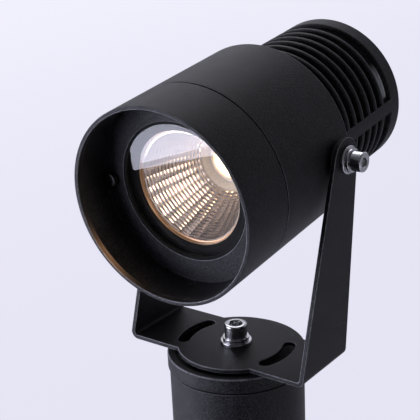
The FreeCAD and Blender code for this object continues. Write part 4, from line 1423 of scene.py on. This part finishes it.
    def build_cowl(self) -> None:
        """Cowl with its inner flange and drain, and its screws.

        The share of painted glow, the lamp's light on the inner lip, is a bell curve over the angle.
        """
        face, bore, mouth = self.cowl_face, self.cowl_bore, self.mouth
        inner, wide, back = mouth - self.relief, bore + self.relief_step, face - self.cowl_flange
        corners = [
            (back, self.opening), (face, self.opening, 0.3), (face, bore, 0.5), (inner - 0.2, bore, 0.1),
            (inner, wide, 0.1), (mouth, wide, 0.5), (mouth, self.barrel, 0.3),
            (self.cowl_back, self.barrel, 0.3), (self.cowl_back, bore), (back, bore),
        ]
        outline = rounded(corners, 0.2)
        on_lip = (outline.along > mouth - 1) & (outline.out > bore + 0.8)
        cowl = turn(HEAD_AXIS, outline.with_edge_share(np.where(on_lip, self.lip_edge_wear_and_highlight, 1.0)), self.cowl_steps)
        in_relief = (outline.out < bore + 0.5) & (outline.along > inner - 0.02)
        angle = np.linspace(0, 360, self.cowl_steps, endpoint=False)
        wear_and_highlight = np.exp(-(((angle - self.lip_glow[0]) / self.lip_glow[1]) ** 2))
        # Painted glow of the lamp on the inner lip, stored as the under share
        cowl.shares["under"] = (in_relief[:, None] * wear_and_highlight).ravel()
        cowl.points = self.leaning(cowl.points)
        base = HEAD_AXIS.shifted(along=self.drain)
        down = Axis(base.origin, tuple(-np.array(base.top)), base.forward)
        (near, far), size = self.drilled, self.drain_hole
        hole = turn(down, bit([(near, 0.0), (near, size), (far, size), (far, 0.0)]), DRAIN_STEPS)
        make("front_cowl", Slot.COATED_ALUMINIUM, Body.HEAD, cowl, [hole])
        axes = [HEAD_AXIS.shifted(along=face, side=side * self.cowl_screw) for side in (-1, 1)]
        make("cowl_screws", Slot.BLACK_STEEL, Body.HEAD, join([COWL_SCREW.surface(a) for a in axes]))

    def build_rear(self) -> None:
        """Rear cover with its screws."""
        end, bore, dip = self.tail_end, self.cover_bore, self.dish_depth
        front, (near, far) = end + self.cover_thick, self.dish
        corners = [
            (front, bore, 0.2), (front, self.cover, 0.2), (end, self.cover, 0.5), (end, far),
            (end + dip, far - dip), (end + dip, near + dip), (end, near), (end, bore),
        ]
        make("rear_cover", Slot.COATED_ALUMINIUM, Body.HEAD, turn(HEAD_AXIS, rounded(corners, 0.3)))
        outwards = HEAD_AXIS.shifted(along=end).reversed()
        spots = polar(self.cover_circle, FOUR_CORNERS)
        screws = [COVER_SCREW.surface(outwards.shifted(side=x, up=y)) for x, y in spots]
        make("rear_cover_screws", Slot.STAINLESS, Body.HEAD, join(screws))

    def build_gland(self) -> None:
        """Cable gland: hexagon body and ribbed dome nut."""
        back = HEAD_AXIS.shifted(along=self.tail_end).reversed()
        corners = [
            (-8.0, 4.0), (-8.0, 6.0, 0.4), (0.0, 6.0, 0.1), (0.0, 7.5), (5.0, 7.5, 0.5), (5.0, 5.5, 0.1),
            (11.0, 5.5, 0.4), (11.0, 4.0),
        ]
        body = turn(back, rounded(corners, 0.2, marked=(3, 4)))
        make("gland_body", Slot.BLACK_NYLON, Body.HEAD, body)
        start, end = self.nut
        corners = [
            (start, 5.55), (start, 7.5, 0.3), (end - 2.6, 7.5, 0.5), (end - 1.0, 6.9, 0.8), (end, 5.3, 0.9),
            (end, 3.5, 0.5), (end - 1.5, 3.5), (end - 1.5, 5.55),
        ]
        nut = turn(back, rounded(corners, 0.2, marked=(1, 2)), ribs=self.ribs, depth=self.rib_depth)
        make("gland_nut", Slot.BLACK_NYLON, Body.HEAD, nut)

    def build_pivots(self) -> None:
        """Screws, washers and spacers that the head hangs on, left and right."""
        axes = [Axis(HEAD_AXIS.origin, (side, 0.0, 0.0), HEAD_AXIS.top) for side in (1.0, -1.0)]
        seats = [axis.shifted(along=self.arm_out + WASHER_PLAY) for axis in axes]
        length = 2 * PIVOT.thick + self.arm_out + WASHER_PLAY - self.spot_face + self.thread
        parts = {
            "pivot_screws": [PIVOT.screw(seat, length) for seat in seats],
            "pivot_flat_washers": [PIVOT.flat_washer(seat) for seat in seats],
            "pivot_spring_washers": [PIVOT.spring_washer(seat) for seat in seats],
        }
        for name, pair in parts.items():
            make(name, Slot.STAINLESS, Body.HEAD, join(pair), fill=name == "pivot_spring_washers")
        start, end = self.spot_face, self.spacer_end
        ring = rounded([(start, PIVOT.bore), (start, 7.0), (end, 7.0, 0.3), (end, PIVOT.bore)], 0.15)
        spacers = join([turn(axis, ring, SMALL_STEPS) for axis in axes])
        make("pivot_spacers", Slot.BLACK_NYLON, Body.HEAD, spacers)


@dataclass
class LampAssembly:
    """Glass, seals, reflector and lamp."""

    glass_front: float = 51.2  # Front face of the glass
    glass_back: float = 44.9  # Rear face of the glass
    glass: float = 29.2  # Radius of the glass's front step
    flange: float = 33.4  # Radius of its rear step
    flange_thick: float = 2.0  # Thickness of the rear step
    seal: float = 29.08  # Inner radius of the rubber seal round the front step
    seal_out: float = 30.0  # Outer radius of the seal's front part
    seal_front: float = 51.0  # Front end of the seal
    seal_step: float = 47.4  # Front face of its wide part
    pad: float = 25.0  # Inner radius of the border behind the glass
    pad_press: float = 0.1  # How far the border presses into the glass
    ledge: float = 44.3  # Front end of the reflector
    throat_place: float = 18.5  # Rear end of the reflector
    mouth: float = 24.1  # Radius of the reflector's mouth
    throat: float = 12.8  # Radius of its throat
    bulge: float = 0.8  # How far the bowl's middle stands outside a straight cone
    rim: float = 1.4  # Width of the plain rim in front of the facets
    wall: float = 1.0  # Thickness of the reflector
    columns: int = 32  # Facets round the bowl
    rows: int = 16  # Facets along the bowl
    fine: int = 4  # Steps across each facet
    back_rows: int = 24  # Rows of points on the reflector's back
    dome: float = 0.2  # Height of each facet's bulge along the bowl
    puff: float = 0.14  # Height of its bulge round the bowl
    facet_sharp: float = math.radians(9)  # Least angle of a sharp edge between facets
    lamp_back: float = 16.5  # Rear face of the lamp
    lamp_lit: float = 6.2  # Radius inside which the lamp is lit
    lamp_dim: float = 7.05  # Radius outside which it is dark
    dim: float = 0.9  # Share of its light that is off between the two

    def build(self) -> None:
        """Builds the lamp's visible pieces."""
        self.build_glass()
        self.build_reflector()
        self.build_lamp()

    def build_glass(self) -> None:
        """Stepped glass, which lets lamps shine through, and the rubber rings round it."""
        back, front, wide = self.glass_back, self.glass_front, self.flange
        shoulder, pad_end = back + self.flange_thick, back + self.pad_press
        corners = [
            (back, 0.0), (back, wide, 0.3), (shoulder, wide, 0.3), (shoulder, self.glass, 0.1),
            (front, self.glass, 0.45), (front, 0.0),
        ]
        pane = turn(HEAD_AXIS, rounded(corners, closed=False), WIDE_STEPS)
        make("front_glass", Slot.CLEAR_GLASS, Body.HEAD, pane).visible_shadow = False
        ring = [
            (shoulder, self.seal), (self.seal_front, self.seal), (self.seal_front, self.seal_out, 0.3),
            (self.seal_step, self.seal_out), (self.seal_step, wide), (shoulder, wide),
        ]
        make("glass_seal", Slot.BLACK_RUBBER, Body.HEAD, turn(HEAD_AXIS, rounded(ring, 0.1)))
        pad = [(self.ledge, self.pad), (self.ledge, wide), (pad_end, wide), (pad_end, self.pad)]
        make("glass_gasket", Slot.BLACK_RUBBER, Body.HEAD, turn(HEAD_AXIS, rounded(pad, 0.12)))

    def bowl(self, place: Array) -> Array:
        """Radius of the bowl's line: a circle through the throat, the bulged middle and the mouth.

        Args:
            place: Places along the axis.

        Returns:
            The radii there.
        """
        middle = (self.ledge + self.throat_place) / 2, (self.mouth + self.throat) / 2 + self.bulge
        ends = np.array([(self.throat_place, self.throat), middle, (self.ledge, self.mouth)])
        system = np.column_stack([2 * ends, np.ones(3)])
        cx, cr, rest = np.linalg.solve(system, (ends**2).sum(1))
        return cr + np.sqrt(rest + cx**2 + cr**2 - (place - cx) ** 2)

    def build_reflector(self) -> None:
        """Bowl of domed facets with a plain rim.

        A facet is flat round the axis. Its point stands inside the bowl's line by one bulge along the bowl
        and one round it, and each falls off with the square of the distance from the facet's middle.
        """
        t = np.arange(self.rows * self.fine + 1) / self.fine
        place = self.throat_place + (self.ledge - self.rim - self.throat_place) * t / self.rows
        across = 2 * np.mod(t, 1) - 1
        angle = np.linspace(0, TURN, self.columns * self.fine, endpoint=False)
        turned = np.mod(angle * self.columns / TURN, 1) - 0.5
        flat = math.cos(math.pi / self.columns) / np.cos(turned * TURN / self.columns)
        bulges = self.dome * (1 - across[:, None] ** 2) + self.puff * (1 - (2 * turned) ** 2)
        face = self.bowl(place)[:, None] * flat - bulges
        rim_back, wall = -self.rim, self.wall
        lip = np.array([self.ledge, self.mouth]) + [
            (rim_back, 0.1), (rim_back + 0.1, 0.35), (-0.7, 0.4), (-0.15, 0.5), (0.0, 0.7), (0.0, 1.6),
            (-wall, 1.6), (-wall, wall),
        ]
        back = np.linspace(self.ledge - wall - 1.0, self.throat_place, self.back_rows)
        shell = np.concatenate([lip, np.stack([back, self.bowl(back) + wall], 1)])
        along = np.concatenate([place, shell[:, 0]])
        out = np.concatenate([face, np.broadcast_to(shell[:, 1:], (len(shell), len(angle)))])
        on_rim = np.concatenate([np.zeros(len(place)), np.ones(len(lip)), np.zeros(len(back))])
        outline = Outline(along, out[:, 0], on_rim, np.zeros(len(along)), True)
        bowl = surface_of(HEAD_AXIS.place(along[:, None], out, angle), outline, out)
        make("reflector", Slot.BRIGHT_ALUMINIUM, Body.HEAD, bowl, sharp=self.facet_sharp, even=False)

    def build_lamp(self) -> None:
        """Lit phosphor disc with a dark border."""
        back, steps = self.lamp_back, SCREW_STEPS
        corners = [
            (back, 0.0), (back, 8.5), (16.95, 8.5, 0.2), (17.1, 7.6, 0.2), (17.0, 7.0), (17.02, 6.3),
            (17.04, 6.0), (17.04, 0.0),
        ]
        outline = rounded(corners, 0.05, closed=False)
        disc = turn(HEAD_AXIS, outline, steps)
        off = np.where(outline.out > self.lamp_lit, self.dim, 0.0)
        off = np.where((outline.out > self.lamp_dim) | (outline.along < back + 0.1), 1.0, off)
        disc.shares["off"] = np.repeat(off, steps)
        make("led_emitter", Slot.PHOSPHOR, Body.HEAD, disc)


def dress_inner_nodes() -> None:
    """Gives every CAD node that still shows its finish."""
    slots = {row["node"]: Slot(row["material_slot"]) for row in frame["record"]["subparts"]}
    for name, node in frame["nodes"].items():
        if not node.hide_render:
            node.data.materials.clear()
            node.data.materials.append(material_of(slots[name]))
            log.info("%s keeps its solid and wears %s", name, slots[name].value)


# Studio


@dataclass(frozen=True)
class Softbox:
    """Rectangular studio light."""

    name: str  # Name of the lamp
    place: Place  # Its middle, in metres
    target: Place  # Point that it faces, in metres
    size: tuple[float, float]  # Width and height in metres
    radiance: float  # Brightness of its face against a white sheet
    tint: Colour  # Colour of its light
    roll: float = 0.0  # Turn about its own facing line, in degrees

    def build(self) -> None:
        """Adds the lamp."""
        lamp = bpy.data.lights.new(self.name, "AREA")
        lamp.shape = "RECTANGLE"
        lamp.size, lamp.size_y = self.size
        lamp.energy = self.radiance * math.pi * self.size[0] * self.size[1]
        lamp.color = self.tint
        made = bpy.data.objects.new(self.name, lamp)
        made.location = self.place
        way = Vector(self.target) - Vector(self.place)
        made.rotation_mode = "QUATERNION"
        roll = Quaternion((0, 0, 1), math.radians(self.roll))
        made.rotation_quaternion = way.to_track_quat("-Z", "Y") @ roll
        made.visible_camera = False
        bpy.context.scene.collection.objects.link(made)


SOFTBOXES = (
    Softbox("top_softbox", (-0.6, 0.5, 1.15), (0.0, 0.0, 0.38), (0.7, 0.7), 1.5, (0.95, 0.95, 1.0)),
    Softbox("right_softbox", (0.6, 0.02, 0.12), (0.0, 0.0, 0.3), (0.16, 0.24), 2.0, (0.9, 0.92, 1.0)),
    Softbox(
        "front_softbox", (-0.42, -0.5, 0.312), (0.0, -0.03, 0.4), (0.5, 0.44), 6.7, (0.8, 0.81, 1.0), -1.0
    ),
    Softbox("side_softbox", (-0.53, -0.32, 0.12), (0.0, 0.0, 0.3), (0.12, 0.2), 4.5, (0.88, 0.9, 1.0)),
)


@dataclass
class Studio:
    """Pale floor, backdrop and soft light."""

    backdrop: Colour = (0.785, 0.778, 0.9)  # Colour that the camera sees behind the light
    bright: Colour = (0.878, 0.87, 0.985)  # Colour of the backdrop's brighter side
    floor: Colour = (0.8, 0.79, 0.86)  # Colour of the floor under it
    floor_dark: Colour = (0.76, 0.75, 0.82)  # Colour of the floor's specks
    floor_rough: float = 0.85  # Roughness of the floor
    floor_mirror: float = 0.2  # How strongly the floor mirrors light from the front
    speck_scale: float = 60.0  # Scale of the floor's specks
    floor_half: float = 20.0  # Half width of the floor in metres
    floor_drop: float = 0.0002  # How far the floor lies under the post, in metres
    # Distances from the post between which the floor fades into the backdrop
    fade: tuple[float, float] = (0.12, 0.4)
    brighter: float = -0.45  # Slope of the backdrop's brighter colour across the scene, for each metre
    mirrored: float = 0.2  # Share of the backdrop's glow on the floor that mirrors see
    mirrored_more: float = 0.6  # What is added to that share behind the glass
    card: tuple[float, float, float] = (1.5, -1.8, -0.2)  # Half width, front and rear end of the black card
    card_height: float = 0.001  # Its height in metres
    ambient: float = 0.1  # Strength of the even light from all round
    room: float = 0.1  # Strength of the room in front, as mirrors see it
    behind: Place = (-0.6, 0.8, 0.0)  # Direction of the backdrop
    behind_strength: float = 0.6  # Strength of the backdrop, as mirrors see it
    # Cosines of the angle from that direction between which the room turns into the backdrop
    facing: tuple[float, float] = (-0.2, 0.7)

    def build(self) -> None:
        """Builds the floor, the card, the world and the lamps."""
        self.build_floor()
        self.build_card()
        self.build_world()
        for box in SOFTBOXES:
            box.build()

    def sheet(self, name: str, across: Array, back: Array, height: float) -> Piece:
        """Level sheet over a grid, facing up.

        Args:
            name: Name of the sheet.
            across: Places across the scene, in metres.
            back: Places to the back, in metres.
            height: Height in metres.

        Returns:
            The sheet.
        """
        x, y = np.meshgrid(across, back)
        points = np.stack([x, y, np.full_like(x, height)], -1).reshape(-1, 3) / MM
        none = np.zeros(len(points))
        made = mesh_object(name, Surface(points, grid_quads(*x.shape), none, none))
        if made.data.polygons[0].normal.z < 0:
            made.data.flip_normals()
        return made

    def seen(self, recipe: Recipe) -> Socket:
        """One for rays from the camera and through glass, and less for rays from mirrors.

        Args:
            recipe: Recipe of the material.

        Returns:
            The share.
        """
        path = recipe.node("LightPath").outputs
        through = recipe.maths("GREATER_THAN", path["Transmission Depth"], 0.5)
        share = recipe.maths("MULTIPLY_ADD", through, self.mirrored_more, self.mirrored)
        mirrored = recipe.maths("MULTIPLY", path["Is Glossy Ray"], share)
        first = recipe.maths("MAXIMUM", path["Is Camera Ray"], mirrored)
        return recipe.maths("MAXIMUM", first, path["Is Transmission Ray"])

    def build_floor(self) -> None:
        """Wide floor that fades into the backdrop away from the post."""
        step = np.linspace(-1, 1, 21)
        places = self.floor_half * np.sign(step) * step**2
        floor = self.sheet("floor", places, places, -self.floor_drop)
        material = bpy.data.materials.new("pale_floor")
        recipe = blank(material)
        where = recipe.here()
        distance = recipe.row(recipe.node("VectorMath", operation="LENGTH"), (where,)).outputs["Value"]
        far = recipe.between(distance, *self.fade, 0.0, 1.0)
        speckle = recipe.between(recipe.noise(where, self.speck_scale, 3.0), 0.3, 0.7, 0.97, 1.0)
        colour = recipe.blend(speckle, self.floor_dark, self.floor)
        lit = recipe.node("BsdfPrincipled", Base_Color=colour, Roughness=self.floor_rough)
        recipe.feed(lit, Specular_IOR_Level=self.floor_mirror)
        side = recipe.maths("MULTIPLY", recipe.node("SeparateXYZ", Vector=where).outputs["X"], self.brighter)
        tint = recipe.blend(recipe.between(side, 0.05, 1.0, 0.0, 1.0), self.backdrop, self.bright)
        glow = recipe.node("Emission", Color=tint, Strength=1.0)
        share = recipe.maths("MULTIPLY", far, self.seen(recipe))
        recipe.node("OutputMaterial", Surface=recipe.mix(share, lit.outputs[0], glow.outputs[0]))
        floor.data.materials.append(material)

    def build_card(self) -> None:
        """Black card that lies in front of the glass and is only seen in mirrors."""
        half, front, rear = self.card
        across, back = np.linspace(-half, half, 9), np.linspace(front, rear, 9)
        card = self.sheet("black_card", across, back, self.card_height)
        finish = Grained("black_card_cloth", (0.002,) * 3, (0.005,) * 3, 0.002, 0.8, 0.9, mirror=0.0)
        cloth = finish.material()
        recipe = Recipe(cloth.node_tree)
        result = cloth.node_tree.nodes["Material Output"]
        dull = result.inputs["Surface"].links[0].from_socket
        depth = recipe.node("LightPath").outputs["Transmission Depth"]
        clear = recipe.node("BsdfTransparent").outputs[0]
        recipe.feed(result, Surface=recipe.mix(recipe.maths("GREATER_THAN", depth, 0.5), dull, clear))
        card.data.materials.append(cloth)
        card.visible_camera = card.visible_diffuse = card.visible_shadow = card.visible_transmission = False

    def build_world(self) -> None:
        """Even light from all round, behind the backdrop's colour."""
        world = bpy.data.worlds.new("studio")
        bpy.context.scene.world = world
        recipe = blank(world)
        ray = recipe.row(recipe.node("VectorMath", operation="DOT_PRODUCT"), (recipe.here(), self.behind))
        mirrored = recipe.between(ray.outputs["Value"], *self.facing, self.room, self.behind_strength)
        path = recipe.node("LightPath").outputs
        direct = recipe.maths("MAXIMUM", path["Is Camera Ray"], path["Is Transmission Ray"])
        strength = recipe.maths("MAXIMUM", recipe.maths("MULTIPLY", mirrored, path["Is Glossy Ray"]), direct)
        strength = recipe.maths("MAXIMUM", strength, self.ambient)
        sky = recipe.node("Background", Color=self.backdrop, Strength=strength)
        recipe.node("OutputWorld", Surface=sky.outputs[0])


@dataclass(frozen=True)
class PhotoCamera:
    """Camera at the photograph's viewpoint."""

    place: Place = (0.25881, -0.35956, 0.54418)  # Its place in metres
    right: Place = (0.80826, 0.58725, -0.04316)  # Direction of the picture's right
    up: Place = (-0.16867, 0.30114, 0.93856)  # Direction of the picture's top
    back: Place = (0.56416, -0.75131, 0.34244)  # Direction from the object to the camera
    lens: float = 95.21  # Focal length in millimetres
    sensor: float = 36.0  # Width of the sensor in millimetres
    reach: tuple[float, float] = (0.01, 100.0)  # Nearest and furthest distance that it sees, in metres

    def build(self) -> None:
        """Adds the camera and makes it the scene's own."""
        lens = bpy.data.cameras.new("photo_camera")
        lens.lens, lens.sensor_width = self.lens, self.sensor
        lens.clip_start, lens.clip_end = self.reach
        made = bpy.data.objects.new("photo_camera", lens)
        columns = np.column_stack([self.right, self.up, self.back, self.place])
        made.matrix_world = Matrix(np.vstack([columns, [0, 0, 0, 1]]).tolist())
        bpy.context.scene.collection.objects.link(made)
        bpy.context.scene.camera = made


def main() -> None:
    """Builds the light and its studio in order."""
    logging.basicConfig(level=logging.INFO, format="%(message)s")
    bpy.context.scene.view_settings.view_transform = "Standard"
    PhotoCamera().build()
    for assembly in (PostAssembly(), YokeAssembly(), HeadAssembly(), LampAssembly()):
        assembly.build()
    dress_inner_nodes()
    Studio().build()


if __name__ == "__main__":
    main()
